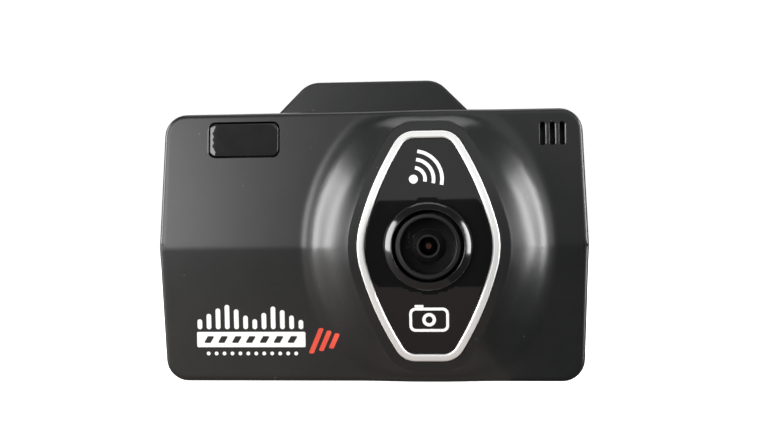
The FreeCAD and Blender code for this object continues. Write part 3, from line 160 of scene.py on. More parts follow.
def rounded_loop(corners, radii, step):
    """A closed outline through corners (anticlockwise) with its corners rounded, sampled evenly."""
    spots = [complex(*c) for c in corners]
    count = len(spots)
    arcs = []
    for i, spot in enumerate(spots):
        before = (spot - spots[i - 1]) / abs(spot - spots[i - 1])
        after = (spots[(i + 1) % count] - spot) / abs(spots[(i + 1) % count] - spot)
        turn = cmath.phase(after / before)
        radius = max(radii[i], 1e-3)
        reach = radius * math.tan(abs(turn) / 2)
        side = 1 if turn > 0 else -1
        first, last = spot - before * reach, spot + after * reach
        centre = first + before * 1j * side * radius
        arcs.append((centre, radius, cmath.phase(first - centre), turn, side, first, last))
    loop = []
    for i, (centre, radius, start, turn, side, _, last) in enumerate(arcs):
        steps = max(1, int(math.ceil(abs(turn) / TURN_STEP))) if radius > 0.01 else 1
        for k in range(steps + 1):
            direction = cmath.rect(1, start + turn * k / steps)
            spot = centre + radius * direction
            loop.append(((spot.real, spot.imag), (side * direction.real, side * direction.imag)))
        following = arcs[(i + 1) % count][5]
        run = following - last
        pieces = int(abs(run) / step)
        normal = -1j * run / abs(run) if abs(run) > 1e-9 else 0
        for k in range(1, pieces):
            spot = last + run * k / pieces
            loop.append(((spot.real, spot.imag), (normal.real, normal.imag)))
    return loop


def grown(loop, amount):
    """The outline moved outwards along its normals."""
    return [((x + nx * amount, z + nz * amount), (nx, nz)) for (x, z), (nx, nz) in loop]


def case_loop():
    """The case seen from the front, widest at the crease, anticlockwise from bottom right."""
    narrow = SIDE_X - SIDE_TAPER
    corners = [(narrow, 0), (SIDE_X, CREASE_Z), (narrow, CASE_TOP),
               (-narrow, CASE_TOP), (-SIDE_X, CREASE_Z), (-narrow, 0)]
    return rounded_loop(corners, [CORNER_R, 0.4, CORNER_R] * 2, 0.7)


def pod_loop(step=0.4):
    """The bezel's outline about the lens axis: side, flank and corner arcs with flat ends."""
    side = complex(POD_HALF[0] - POD_SIDE_R, 0)
    corner = complex(POD_FLAT, POD_HALF[1] - POD_CORNER_R)
    to_side, to_corner = POD_FLANK_R - POD_SIDE_R, POD_FLANK_R - POD_CORNER_R
    apart = abs(corner - side)
    along = (to_side ** 2 - to_corner ** 2 + apart ** 2) / (2 * apart)
    flank = side + (corner - side) / apart * complex(along, math.sqrt(to_side ** 2 - along ** 2))
    low, high = cmath.phase(side - flank), cmath.phase(corner - flank)
    quarter = arc_points(side, POD_SIDE_R, 0, low, step)
    quarter += arc_points(flank, POD_FLANK_R, low, high, step)
    quarter += arc_points(corner, POD_CORNER_R, high, math.pi / 2, step)
    quarter += [((x, POD_HALF[1]), (0, 1)) for x in np.linspace(POD_FLAT, 0, 8)[:-1]]

    def flip(points, sx, sz):
        return [((sx * x, sz * z), (sx * nx, sz * nz)) for (x, z), (nx, nz) in points]

    top = ((0, POD_HALF[1]), (0, 1))
    right = ((POD_HALF[0], 0), (1, 0))
    second = flip([right] + quarter[1:] + [top], -1, 1)[::-1]
    half = quarter + second[:-1]
    return half + flip(half, -1, -1)


def at_lens(loop):
    """An outline about the lens axis, moved to its place on the case."""
    return [((x + LENS_X, z + CREASE_Z), n) for (x, z), n in loop]


# ---- surfaces as functions of (x, z)

def face_y(x, z):
    """The creased front faces, with a small round along the crease."""
    rise = np.sqrt((np.asarray(z) - CREASE_Z) ** 2 + CREASE_R ** 2) - CREASE_R
    return CREASE_Y + CREASE_RISE * rise / CREASE_Z + 0 * np.asarray(x)


def arch_y(x, z, lift=0.0):
    """The curved front of the pod, lifted towards the lens side."""
    drop = np.asarray(z) - CREASE_Z
    return CROWN_Y + ARCH_R - np.sqrt((ARCH_R + lift) ** 2 - drop ** 2) + 0 * np.asarray(x)


def panel_y(x, z):
    """The gloss panel, a little before the flat band."""
    return arch_y(x, z, BEZEL_PROUD - PANEL_RISE)


def polar_radius(loop):
    """Radius of an outline about the lens axis, as a function of angle."""
    angles = np.array([math.atan2(z, x) for (x, z), _ in loop])
    radii = np.array([math.hypot(x, z) for (x, z), _ in loop])
    order = np.argsort(angles)
    angles, radii = angles[order], radii[order]
    angles = np.concatenate([[angles[-1] - 2 * np.pi], angles, [angles[0] + 2 * np.pi]])
    radii = np.concatenate([[radii[-1]], radii, [radii[0]]])
    return lambda a: np.interp(a, angles, radii)


PLATEAU_RADIUS = polar_radius(grown(pod_loop(0.2), PLATEAU_BAND))


def dome_y(x, z):
    """The half ellipsoid behind the pod, which runs out straight beyond its shoulder."""
    drop = np.sqrt((np.asarray(z) - CREASE_Z) ** 2 + DOME_CREASE_R ** 2) + DOME_FOLD
    across, along = (np.asarray(x) - LENS_X) / DOME_HALF[0], drop / (DOME_HALF[1] + DOME_FOLD)
    out = np.sqrt(across ** 2 + along ** 2)
    cap = np.sqrt(1 - np.minimum(out, DOME_SHOULDER) ** 2)
    return DOME_Y - DOME_DEPTH * (cap - np.maximum(out - DOME_SHOULDER, 0) * SHOULDER_FALL)


def edge_lift():
    """How far the dome moves at the band's edge, as a function of angle, for an even step there."""
    angles = np.linspace(-math.pi, math.pi, 721)
    radii = PLATEAU_RADIUS(angles) + PLATEAU_STEP
    x, z = LENS_X + radii * np.cos(angles), CREASE_Z + radii * np.sin(angles)
    lift = arch_y(x, z) + PLATEAU_LIP - np.minimum(dome_y(x, z), face_y(x, z))
    return lambda a: np.interp(a, angles, lift)


EDGE_LIFT = edge_lift()


def shell_y(x, z):
    """The front shell: creased faces, and the dome with the flat band of the pod cut into it."""
    x, z = np.asarray(x, float), np.asarray(z, float)
    dx, dz = x - LENS_X, z - CREASE_Z
    face, dome = face_y(x, z), dome_y(x, z)
    soft = np.clip(0.5 + (face - dome) / (4 * FOOT_BLEND), 0, 1)
    outer = face * (1 - soft) + dome * soft - 2 * FOOT_BLEND * soft * (1 - soft)
    angle = np.arctan2(dz, dx)
    past = np.hypot(dx, dz) - PLATEAU_RADIUS(angle) - PLATEAU_STEP
    outer = outer + EDGE_LIFT(angle) * np.clip(1 - past / PLATEAU_REACH, 0, 1) ** 2
    near_edge = np.clip((np.abs(dz) - FADE_FROM) / (CREASE_Z - EDGE_R - FADE_FROM), 0, 1)
    outer = outer + (face - outer) * EDGE_FADE * near_edge ** 2 * (3 - 2 * near_edge)
    share = np.clip(1 + past / PLATEAU_STEP, 0, 1)
    return np.where(share < 1, arch_y(x, z) * (1 - share) + outer * share, outer)


def dome_ring(share):
    """An outline round the dome, at a share of its radius."""
    loop = []
    for angle in np.linspace(0, 2 * math.pi, 320, endpoint=False):
        dx, dz = math.cos(angle), math.sin(angle)
        radius = share / math.hypot(dx / DOME_HALF[0], dz / DOME_HALF[1])
        loop.append(((LENS_X + radius * dx, CREASE_Z + radius * dz), (dx, dz)))
    return loop


def level(y):
    """A flat surface at one depth."""
    return lambda x, z: y + 0 * np.asarray(x)


# ---- meshes

def make_object(name, points, faces, sharp):
    """A mesh object from points in millimetres, shaded smooth up to an angle in degrees."""
    mesh = bpy.data.meshes.new(name)
    mesh.from_pydata([(x * MM, y * MM, z * MM) for x, y, z in points], [], faces)
    mesh.validate()
    obj = bpy.data.objects.new(name, mesh)
    bpy.context.scene.collection.objects.link(obj)
    tidy_mesh(obj)
    smooth_by_angle(obj, sharp)
    return obj


def tidy_mesh(obj):
    """Join doubled points and turn every face outwards."""
    work = bmesh.new()
    work.from_mesh(obj.data)
    bmesh.ops.remove_doubles(work, verts=work.verts, dist=JOIN)
    bmesh.ops.dissolve_degenerate(work, dist=1e-7, edges=work.edges)
    bmesh.ops.recalc_face_normals(work, faces=work.faces)
    work.to_mesh(obj.data)
    work.free()


def smooth_by_angle(obj, degrees):
    """Smooth shading that breaks at edges sharper than an angle."""
    for polygon in obj.data.polygons:
        polygon.use_smooth = True
    obj.data.set_sharp_from_angle(angle=math.radians(degrees))


def inside(points, loop):
    """Which of the points lie inside a closed outline."""
    x, z = points[:, 0], points[:, 1]
    ring = np.array([p for p, _ in loop])
    nxt = np.roll(ring, -1, axis=0)
    result = np.zeros(len(points), bool)
    for (x0, z0), (x1, z1) in zip(ring, nxt):
        if z0 == z1:
            continue
        crosses = ((z0 > z) != (z1 > z)) & (x < (x1 - x0) * (z - z0) / (z1 - z0) + x0)
        result ^= crosses
    return result


def clear_of(points, loops, distance):
    """Which of the points stay at least a distance away from every outline."""
    rings = np.vstack([np.array([p for p, _ in loop]) for loop in loops])
    keep = np.ones(len(points), bool)
    for start in range(0, len(points), BLOCK):
        block = points[start:start + BLOCK]
        gap = np.min(np.hypot(block[:, None, 0] - rings[None, :, 0],
                              block[:, None, 1] - rings[None, :, 1]), axis=1)
        keep[start:start + BLOCK] = gap > distance
    return keep


def triangulate(outer, holes, spacing, features=()):
    """Triangles inside an outline, clear of its holes, with edges along the feature outlines."""
    loops = [outer, *holes, *features]
    ring = np.array([p for p, _ in outer])
    low, high = ring.min(0), ring.max(0)
    columns = np.arange(low[0], high[0], spacing)
    rows = np.arange(low[1], high[1], spacing * ROW_SHARE)
    grid = np.array([(x + (j % 2) * spacing / 2, z)
                     for j, z in enumerate(rows) for x in columns])
    keep = inside(grid, outer)
    for hole in holes:
        keep &= ~inside(grid, hole)
    grid = grid[keep]
    grid = grid[clear_of(grid, loops, spacing * 0.45)]
    verts, edges = [], []
    for loop in loops:
        first = len(verts)
        verts += [p for p, _ in loop]
        edges += [(first + i, first + (i + 1) % len(loop)) for i in range(len(loop))]
    verts += [tuple(p) for p in grid]
    made, _, faces, _, _, _ = delaunay_2d_cdt([Vector(p) for p in verts], edges, [], 0, 1e-5)
    flat = np.array([tuple(v) for v in made])
    centres = np.array([flat[list(f)].mean(0) for f in faces])
    keep = inside(centres, outer)
    for hole in holes:
        keep &= ~inside(centres, hole)
    return flat, [tuple(f) for f, k in zip(faces, keep) if k]


def strip(loops):
    """Quads between equal closed loops of points, one after another."""
    points, faces = [], []
    count = len(loops[0])
    for loop in loops:
        points += loop
    for k in range(len(loops) - 1):
        for i in range(count):
            j = (i + 1) % count
            faces.append((k * count + i, k * count + j, (k + 1) * count + j, (k + 1) * count + i))
    return points, faces


def join_parts(parts):
    """One set of points and faces from several."""
    points, faces = [], []
    for some, more in parts:
        first = len(points)
        points += [tuple(p) for p in some]
        faces += [tuple(first + i for i in face) for face in more]
    return points, faces


def soften(corners, radius):
    """A profile (open polyline) with its inner corners rounded."""
    made = [corners[0]]
    for before, spot, after in zip(corners, corners[1:], corners[2:]):
        a, b, c = complex(*before), complex(*spot), complex(*after)
        reach = min(radius, abs(a - b) * 0.45, abs(c - b) * 0.45)
        first, last = b + (a - b) / abs(a - b) * reach, b + (c - b) / abs(c - b) * reach
        for k in range(SOFT_STEPS + 1):
            t = k / SOFT_STEPS
            spot_k = (1 - t) ** 2 * first + 2 * t * (1 - t) * b + t ** 2 * last
            made.append((spot_k.real, spot_k.imag))
    made.append(corners[-1])
    return made


def lathe(name, profile, radius):
    """A piece turned about the lens axis; profile points are (radius, y), rounded by radius."""
    ends_on_axis = profile[0][0] < 1e-6 and profile[-1][0] < 1e-6
    outline = soften(profile if ends_on_axis else profile + [profile[0]], radius)
    angles = [2 * math.pi * i / LATHE_STEPS for i in range(LATHE_STEPS)]
    points, faces = strip([[(LENS_X + r * math.cos(a), y, CREASE_Z + r * math.sin(a))
                            for a in angles] for r, y in outline])
    return make_object(name, points, faces, SMOOTH_ANGLE)


def round_edge(loop, surface, radius, steps, side=1):
    """Rings round an outline that turn a surface into its wall; side is -1 round a hole."""
    rings = []
    for k in range(steps + 1):
        turn = k * math.pi / (2 * steps)
        out, back = side * radius * math.sin(turn), radius * (1 - math.cos(turn))
        rings.append([(x + nx * out, float(surface(x, z)) + back, z + nz * out)
                      for (x, z), (nx, nz) in loop])
    return rings


def along_outline(name, loop, section, surface):
    """A closed section swept round an outline; its points are (offset, depth behind surface)."""
    loops = []
    for offset, depth in section:
        ring = []
        for (x, z), (nx, nz) in loop:
            px, pz = x + nx * offset, z + nz * offset
            ring.append((px, float(surface(px, pz)) + depth, pz))
        loops.append(ring)
    points, faces = strip(loops + [loops[0]])
    return make_object(name, points, faces, SMOOTH_ANGLE)


def plate(name, outer, surface, thickness, edge, holes=(), spacing=0.8, sharp=SHELL_ANGLE):
    """A plate with soft edges that follows a surface; outlines are in (x, z)."""
    inner = grown(outer, -edge)
    inner_holes = [grown(h, edge) for h in holes]
    flat, faces = triangulate(inner, inner_holes, spacing)
    front_y = surface(flat[:, 0], flat[:, 1])
    parts = [([(x, y, z) for (x, z), y in zip(flat, front_y)], faces)]
    back = [(x, y + thickness, z) for (x, z), y in zip(flat, front_y)]
    parts.append((back, [f[::-1] for f in faces]))
    for loop, side in [(inner, 1)] + [(h, -1) for h in inner_holes]:
        rings = round_edge(loop, surface, edge, 4, side)
        rings.append([(x, y + thickness - 2 * edge, z) for x, y, z in rings[-1]])
        rings.append([(x, float(surface(x, z)) + thickness, z) for (x, z), _ in loop])
        parts.append(strip(rings))
    points, faces = join_parts(parts)
    made = make_object(name, points, faces, sharp)
    shade_evenly(made)
    return made


def circle_loop(x, z, radius, count=40):
    """A circle about (x, z)."""
    return [((x + radius * math.cos(a), z + radius * math.sin(a)), (math.cos(a), math.sin(a)))
            for a in np.linspace(0, 2 * math.pi, count, endpoint=False)]


def bar_loop(x, z, width, height, radius, slant=0.0, step=0.4):
    """A bar about (x, z) with rounded corners, leaning right by slant from bottom to top."""
    half, lean = width / 2, slant / 2
    low, high = z - height / 2, z + height / 2
    corners = [(x + half - lean, low), (x + half + lean, high),
               (x - half + lean, high), (x - half - lean, low)]
    return rounded_loop(corners, [radius] * 4, step)


def band_loop(x, z, low, high, start, end):
    """A stretch of ring between two radii and two angles in degrees."""
    rays = [cmath.rect(1, a) for a in np.radians(np.linspace(start, end, BAND_POINTS))]
    outer = [((x + high * d.real, z + high * d.imag), (d.real, d.imag)) for d in rays]
    inner = [((x + low * d.real, z + low * d.imag), (-d.real, -d.imag)) for d in rays]
    return outer + inner[::-1]


def print_on(name, shapes, surface, material, body="case", side=-1):
    """Printed ink: thin closed sheets through a surface.

    side is the way they face along Y: -1 the lens side, above 0 the screen side, and a smaller
    number makes thinner ink.
    """
    parts = []
    for outer, holes in shapes:
        flat, faces = triangulate(outer, holes, INK_SPACING)
        y = surface(flat[:, 0], flat[:, 1]) + side * PRINT
        parts.append(([(x, v, z) for (x, z), v in zip(flat, y)], faces))
        parts.append(([(x, v - side * 2 * PRINT, z) for (x, z), v in zip(flat, y)], faces))
        for loop in (outer, *holes):
            front = [(x, float(surface(x, z)) + side * PRINT, z) for (x, z), _ in loop]
            parts.append(strip([front, [(x, y - side * 2 * PRINT, z) for x, y, z in front]]))
    points, faces = join_parts(parts)
    finish_piece(make_object(name, points, faces, INK_ANGLE), material, body)


def shade_evenly(obj):
    """Shading that follows the large faces."""
    even = obj.modifiers.new("shading", "WEIGHTED_NORMAL")
    even.mode = "FACE_AREA"
    even.weight = 100
    even.keep_sharp = True
    apply_modifiers(obj)


def refined(node, bevel):
    """A better mesh for a CAD node: flat faces joined up, edges softened, shaded smooth."""
    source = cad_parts[node]
    mesh = source.data.copy()
    mesh.name = node + "_visual"
    obj = bpy.data.objects.new(node + "_visual", mesh)
    bpy.context.scene.collection.objects.link(obj)
    work = bmesh.new()
    work.from_mesh(mesh)
    bmesh.ops.remove_doubles(work, verts=work.verts, dist=JOIN)
    bmesh.ops.dissolve_limit(work, angle_limit=math.radians(0.4),
                             verts=work.verts, edges=work.edges)
    work.to_mesh(mesh)
    work.free()
    softer = obj.modifiers.new("edges", "BEVEL")
    softer.width = bevel * MM
    softer.segments = 2
    softer.limit_method = "ANGLE"
    softer.angle_limit = math.radians(BEVEL_ANGLE)
    softer.use_clamp_overlap = True
    apply_modifiers(obj)
    smooth_by_angle(obj, BEVEL_ANGLE)
    shade_evenly(obj)
    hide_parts(node)
    return obj


def apply_modifiers(obj):
    """Turn an object's modifiers into mesh."""
    graph = bpy.context.evaluated_depsgraph_get()
    done = bpy.data.meshes.new_from_object(obj.evaluated_get(graph))
    old = obj.data
    obj.modifiers.clear()
    obj.data = done
    bpy.data.meshes.remove(old)


def finish_piece(obj, material, body="case", replaces=()):
    """Give a piece its material and body, and hide the CAD nodes that it stands for."""
    obj.data.materials.clear()
    obj.data.materials.append(material)
    if replaces:
        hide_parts(*replaces)
    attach(obj, body)


# ---- materials

NOISE_LOW, NOISE_HIGH = 0.3, 0.7    # where most of a noise's values lie
TINT_STOPS = (0.35, 0.65)           # where a drift of colour starts and ends
DUST_APART = 4.2                    # millimetres between specks
DUST_SIZE = 0.02                    # radius of a speck, as a share of that
DUST_COLOR = (0.22, 0.22, 0.21)
MIX_FIRST, MIX_SECOND, MIX_RESULT = 6, 7, 2     # colour sockets of a mix node


def scaled(color, share):
    """A colour made darker or lighter."""
    return tuple(c * share for c in color)


def new_material(name, color, roughness, metallic=0.0):
    """A principled material with plain values; returns (material, shader)."""
    material = bpy.data.materials.new(name)
    material.use_nodes = True
    shader = material.node_tree.nodes["Principled BSDF"]
    shader.inputs["Base Color"].default_value = (*color, 1)
    shader.inputs["Roughness"].default_value = roughness
    shader.inputs["Metallic"].default_value = metallic
    return material, shader


def add_node(material, kind, **settings):
    """A node with some of its inputs or properties set."""
    made = material.node_tree.nodes.new(kind)
    for key, value in settings.items():
        if key in made.inputs:
            made.inputs[key].default_value = value
        else:
            setattr(made, key, value)
    return made


def link(material, source, output, target, entry):
    """Join an output of one node to an input of another."""
    material.node_tree.links.new(source.outputs[output], target.inputs[entry])


def object_noise(material, size, detail, stretch=None):
    """Noise of a grain size in millimetres, fixed to the object."""
    place = add_node(material, "ShaderNodeTexCoord")
    noise = add_node(material, "ShaderNodeTexNoise", Scale=1 / (size * MM), Detail=detail)
    if stretch:
        mapping = add_node(material, "ShaderNodeMapping")
        mapping.inputs["Scale"].default_value = stretch
        link(material, place, "Object", mapping, "Vector")
        link(material, mapping, "Vector", noise, "Vector")
    else:
        link(material, place, "Object", noise, "Vector")
    return noise


def vary(material, noise, shader, entry, low, high):
    """Drive a shader input between two numbers with a noise."""
    ranged = add_node(material, "ShaderNodeMapRange")
    for socket, value in (("From Min", NOISE_LOW), ("From Max", NOISE_HIGH),
                          ("To Min", low), ("To Max", high)):
        ranged.inputs[socket].default_value = value
    link(material, noise, "Fac", ranged, "Value")
    link(material, ranged, "Result", shader, entry)


def tint(material, noise, shader, first, second):
    """Drift the base colour between two colours with a noise."""
    ramp = add_node(material, "ShaderNodeValToRGB")
    for stop, position, color in zip(ramp.color_ramp.elements, TINT_STOPS, (first, second)):
        stop.position = position
        stop.color = (*color, 1)
    link(material, noise, "Fac", ramp, "Fac")
    link(material, ramp, "Color", shader, "Base Color")
    return ramp


def bump(material, noise, shader, depth):
    """Fine relief from a noise, with its depth in millimetres."""
    relief = add_node(material, "ShaderNodeBump")
    relief.inputs["Strength"].default_value = 1.0
    relief.inputs["Distance"].default_value = depth * MM
    link(material, noise, "Fac", relief, "Height")
    link(material, relief, "Normal", shader, "Normal")


def dusty(material, shader, ramp):
    """Sparse specks of dust mixed over a colour."""
    place = add_node(material, "ShaderNodeTexCoord")
    cells = add_node(material, "ShaderNodeTexVoronoi", Scale=1 / (DUST_APART * MM), Randomness=1.0)
    link(material, place, "Object", cells, "Vector")
    near = add_node(material, "ShaderNodeMath", operation="LESS_THAN")
    near.inputs[1].default_value = DUST_SIZE
    link(material, cells, "Distance", near, 0)
    mix = add_node(material, "ShaderNodeMix", data_type="RGBA")
    link(material, near, "Value", mix, "Factor")
    link(material, ramp, "Color", mix, MIX_FIRST)
    mix.inputs[MIX_SECOND].default_value = (*DUST_COLOR, 1)
    link(material, mix, MIX_RESULT, shader, "Base Color")


def textured_plastic(name, dark, light, rough=(0.27, 0.34), grain=0.11, depth=0.002, dust=True):
    """Moulded black plastic with a fine spark-eroded grain."""
    material, shader = new_material(name, dark, rough[0])
    cloud = object_noise(material, 9.0, 4.0)
    ramp = tint(material, cloud, shader, dark, light)
    fine = object_noise(material, grain, 2.0)
    vary(material, fine, shader, "Roughness", *rough)
    bump(material, fine, shader, depth)
    if dust:
        dusty(material, shader, ramp)
    return material


def gloss_plastic(name, color, rough=(0.03, 0.07), wave=6.0, depth=0.002):
    """Polished plastic: a faint haze and a very slight waviness."""
    material, shader = new_material(name, color, rough[0])
    haze = object_noise(material, 2.5, 5.0)
    vary(material, haze, shader, "Roughness", *rough)
    tint(material, haze, shader, color, scaled(color, 1.1))
    slow = object_noise(material, wave, 1.0)
    bump(material, slow, shader, depth)
    return material


def brushed_metal(name, color, rough, stretch=(1, 1, 0.06), grain=0.05, depth=0.0015):
    """Metal with fine brushed lines."""
    material, shader = new_material(name, color, rough[0], metallic=1.0)
    lines = object_noise(material, grain, 3.0, stretch)
    vary(material, lines, shader, "Roughness", *rough)
    tint(material, lines, shader, scaled(color, 0.93), color)
    bump(material, lines, shader, depth)
    return material


def silver_paint(name, color):
    """Satin silver lacquer: metal flakes under a clear coat."""
    material, shader = new_material(name, color, 0.5, metallic=0.55)
    flakes = object_noise(material, 0.035, 2.0)
    vary(material, flakes, shader, "Roughness", 0.42, 0.58)
    tint(material, flakes, shader, scaled(color, 0.9), color)
    bump(material, flakes, shader, 0.0015)
    shader.inputs["Coat Weight"].default_value = 0.4
    shader.inputs["Coat Roughness"].default_value = 0.2
    return material


def clear_glass(name, color, coat, index):
    """Coated optical glass, whose low index stands for its anti-reflection layers."""
    material, shader = new_material(name, color, 0.0)
    shader.inputs["Transmission Weight"].default_value = 1.0
    shader.inputs["IOR"].default_value = index
    haze = object_noise(material, 1.5, 3.0)
    vary(material, haze, shader, "Roughness", 0.0, 0.01)
    shader.inputs["Specular Tint"].default_value = (*coat, 1)
    return material


def ink(name, color):
    """Screen-printed ink with a slightly uneven cover."""
    material, shader = new_material(name, color, 0.5)
    speckle = object_noise(material, 0.12, 3.0)
    tint(material, speckle, shader, scaled(color, 0.9), color)
    bump(material, speckle, shader, 0.002)
    return material


def build_materials():
    """Every material by its short name."""
    return {
        "case": textured_plastic("case_black", (0.0085, 0.009, 0.009), (0.011, 0.0115, 0.0113)),
        "button": textured_plastic("button_black", (0.018, 0.018, 0.019), (0.022, 0.022, 0.023),
                                   (0.34, 0.42), 0.08, 0.002),
        "inner": textured_plastic("inner_black", (0.012, 0.012, 0.012), (0.016, 0.016, 0.016),
                                  (0.5, 0.6), dust=False),
        "silver": silver_paint("pod_silver", (0.79, 0.79, 0.78)),
        "steel": brushed_metal("plain_steel", (0.55, 0.55, 0.54), (0.25, 0.4)),
        "gold": brushed_metal("contact_gold", (0.83, 0.62, 0.28), (0.2, 0.32)),
        "screw": brushed_metal("screw_black", (0.07, 0.07, 0.07), (0.3, 0.45)),
        "gloss": gloss_plastic("pod_gloss", (0.004, 0.004, 0.0045)),
        "ring": gloss_plastic("ring_black", (0.005, 0.005, 0.0055), (0.11, 0.15), 2.0, 0.001),
        "window": gloss_plastic("window_black", (0.014, 0.014, 0.0145), (0.05, 0.08), 6.0, 0.001),
        "barrel": textured_plastic("barrel_black", (0.008, 0.008, 0.008), (0.011, 0.011, 0.011),
                                   (0.3, 0.42), 0.06, 0.0015, dust=False),
        # painted light: a grey for the thin ring deep in the lens where light falls
        "stop": textured_plastic("stop_grey", (0.10, 0.10, 0.10), (0.13, 0.13, 0.13),
                                 (0.3, 0.4), 0.05, 0.001, dust=False),
        "baffle": textured_plastic("lens_baffle", (0.002, 0.002, 0.002), (0.003, 0.003, 0.003),
                                   (0.5, 0.6), 0.08, 0.001, dust=False),
        "glass": clear_glass("lens_glass", (0.58, 0.57, 0.58), (0.7, 0.66, 0.72), 1.06),
        "cover": gloss_plastic("screen_glass", (0.006, 0.006, 0.007), (0.02, 0.05), 9.0, 0.001),
        "lcd": gloss_plastic("lcd_dark", (0.016, 0.018, 0.022), (0.05, 0.09), 9.0, 0.001),
        "pupil": gloss_plastic("pupil_black", (0.003, 0.003, 0.004), (0.1, 0.15), 0.6, 0.002),
        # painted reflection: a warm colour that stands in for the glint deep in the lens
        "painted_warm_reflection": gloss_plastic("pupil_painted_reflection", (0.36, 0.17, 0.11), (0.1, 0.2), 0.5, 0.004),
        "white": ink("print_white", (0.93, 0.93, 0.92)),
        "red": ink("print_red", (0.78, 0.075, 0.04)),
        "green": gloss_plastic("board_green", (0.01, 0.07, 0.03), (0.2, 0.35)),
        "chip": textured_plastic("chip_black", (0.015, 0.015, 0.016), (0.02, 0.02, 0.02),
                                 (0.4, 0.55), dust=False),
        "amber": gloss_plastic("flex_amber", (0.35, 0.15, 0.03), (0.2, 0.3)),
        "ceramic": textured_plastic("patch_ceramic", (0.5, 0.42, 0.3), (0.56, 0.47, 0.35),
                                    (0.35, 0.5), dust=False),
        "foil": brushed_metal("battery_foil", (0.6, 0.61, 0.63), (0.3, 0.5), (1, 1, 1), 1.5, 0.02),
        "foam": textured_plastic("foam_black", (0.02, 0.02, 0.02), (0.03, 0.03, 0.03),
                                 (0.8, 0.95), 0.3, 0.03, dust=False),
        "light": gloss_plastic("light_clear", (0.10, 0.16, 0.13), (0.1, 0.2), 0.8, 0.004),
        "horn": brushed_metal("horn_metal", (0.6, 0.6, 0.58), (0.35, 0.5), (1, 1, 1), 0.4, 0.006),
    }


# ---- shells

SHELL_WALL = 0.9        # shown thickness of the front shell
OPENING_DEPTH, INLAY_DEPTH = 1.8, 1.2
WINDOW_CHAMFER, SLOT_CHAMFER, INLAY_CHAMFER = 0.12, 0.2, 0.06
SHELL_SPACING = 0.62
EDGE_STEPS = 7
BAND_EDGES = (-0.35, 0.0, PLATEAU_STEP, 2.6 * PLATEAU_STEP)     # mesh lines along the band's edge
DOME_RINGS = (0.84, 0.87, 0.90, 0.93, 0.96, 0.99, 1.02)         # and round the dome's shoulder
# rings at the joint of the two shells: distance before the split, distance inwards
SPLIT_RINGS = ((0.25, 0.0), (0.02, 0.22), (0.02, 1.8))


def laser_loop(grow):
    """The laser window's outline, seen from the front."""
    return bar_loop(middle("laser_window")[0], CASE_TOP - WINDOW_DROP,
                    WINDOW_SIZE[0] + 2 * grow, WINDOW_SIZE[1] * math.cos(LEAN) + 2 * grow,
                    WINDOW_CORNER_R + grow)


def slot_loops():
    """Three upright speaker slots with round ends."""
    return [bar_loop(SPEAKER_X + i * SLOT_PITCH, CASE_TOP - SLOT_DROP, *SLOT_SIZE,
                     SLOT_SIZE[0] / 2 * 0.98, step=0.3) for i in (-1, 0, 1)]


def rim(loop, surface, depth, chamfer):
    """The wall of an opening, with a chamfer from a grown outline down into it."""
    rings = [[(x, float(surface(x, z)), z) for (x, z), _ in grown(loop, chamfer)]]
    for back in (chamfer, depth):
        rings.append([(x, float(surface(x, z)) + back, z) for (x, z), _ in loop])
    return strip(rings)


def build_front_shell(mats):
    """The creased front with its dome, flat band and openings."""
    outline = case_loop()
    inlay = at_lens(grown(pod_loop(), INLAY_GAP))
    band = grown(pod_loop(), PLATEAU_BAND)
    edges = [at_lens(grown(band, g)) for g in BAND_EDGES]
    shoulders = [dome_ring(share) for share in DOME_RINGS]
    openings = [(inlay, shell_y, INLAY_DEPTH, INLAY_CHAMFER),
                (laser_loop(WINDOW_ROOM), face_y, OPENING_DEPTH, WINDOW_CHAMFER)]
    openings += [(slot, face_y, OPENING_DEPTH, SLOT_CHAMFER) for slot in slot_loops()]
    holes = [grown(loop, chamfer) for loop, _, _, chamfer in openings]
    front = grown(outline, -EDGE_R)
    flat, faces = triangulate(front, holes, SHELL_SPACING, [*edges, *shoulders])
    y = shell_y(flat[:, 0], flat[:, 1])
    parts = [([(x, v, z) for (x, z), v in zip(flat, y)], faces)]
    rings = round_edge(front, shell_y, EDGE_R, EDGE_STEPS)
    for before, inwards in SPLIT_RINGS:
        rings.append([(x, SPLIT_Y - before, z) for (x, z), _ in grown(outline, -inwards)])
    parts.append(strip(rings))
    parts += [rim(*opening) for opening in openings]
    points, faces = join_parts(parts)
    shell = make_object("front_shell_visual", points, faces, SHELL_ANGLE)
    thick = shell.modifiers.new("wall", "SOLIDIFY")
    thick.thickness = SHELL_WALL * MM
    thick.offset = -1
    apply_modifiers(shell)
    smooth_by_angle(shell, SHELL_ANGLE)
    finish_piece(shell, mats["case"], replaces=["front_shell"])


def build_pod(mats):
    """The silver bezel and the gloss panel inside it."""
    back = BEZEL_PROUD + 0.6
    section = soften([(0.0, back), (0.0, 0.22), (-0.22, 0.0), (-1.28, 0.0), (-1.58, 0.28),
                      (-BEZEL_BAND, back), (0.0, back)], 0.12)[:-1]
    bezel = along_outline("pod_bezel_visual", at_lens(pod_loop()), section,
                          lambda x, z: arch_y(x, z, BEZEL_PROUD))
    finish_piece(bezel, mats["silver"], replaces=["pod_bezel"])
    hole = circle_loop(LENS_X, CREASE_Z, RING_R + 0.06, 160)
    panel = plate("pod_panel_visual", at_lens(grown(pod_loop(), -BEZEL_BAND - 0.08)),
                  panel_y, 0.8, 0.1, [hole])
    finish_piece(panel, mats["gloss"], replaces=["pod_panel"])


def bulge(radius, y, depth, count):
    """Profile of a curved lens front, from the axis outwards."""
    return [(radius * s, y + depth * s ** 2) for s in np.linspace(0, 1, count)]


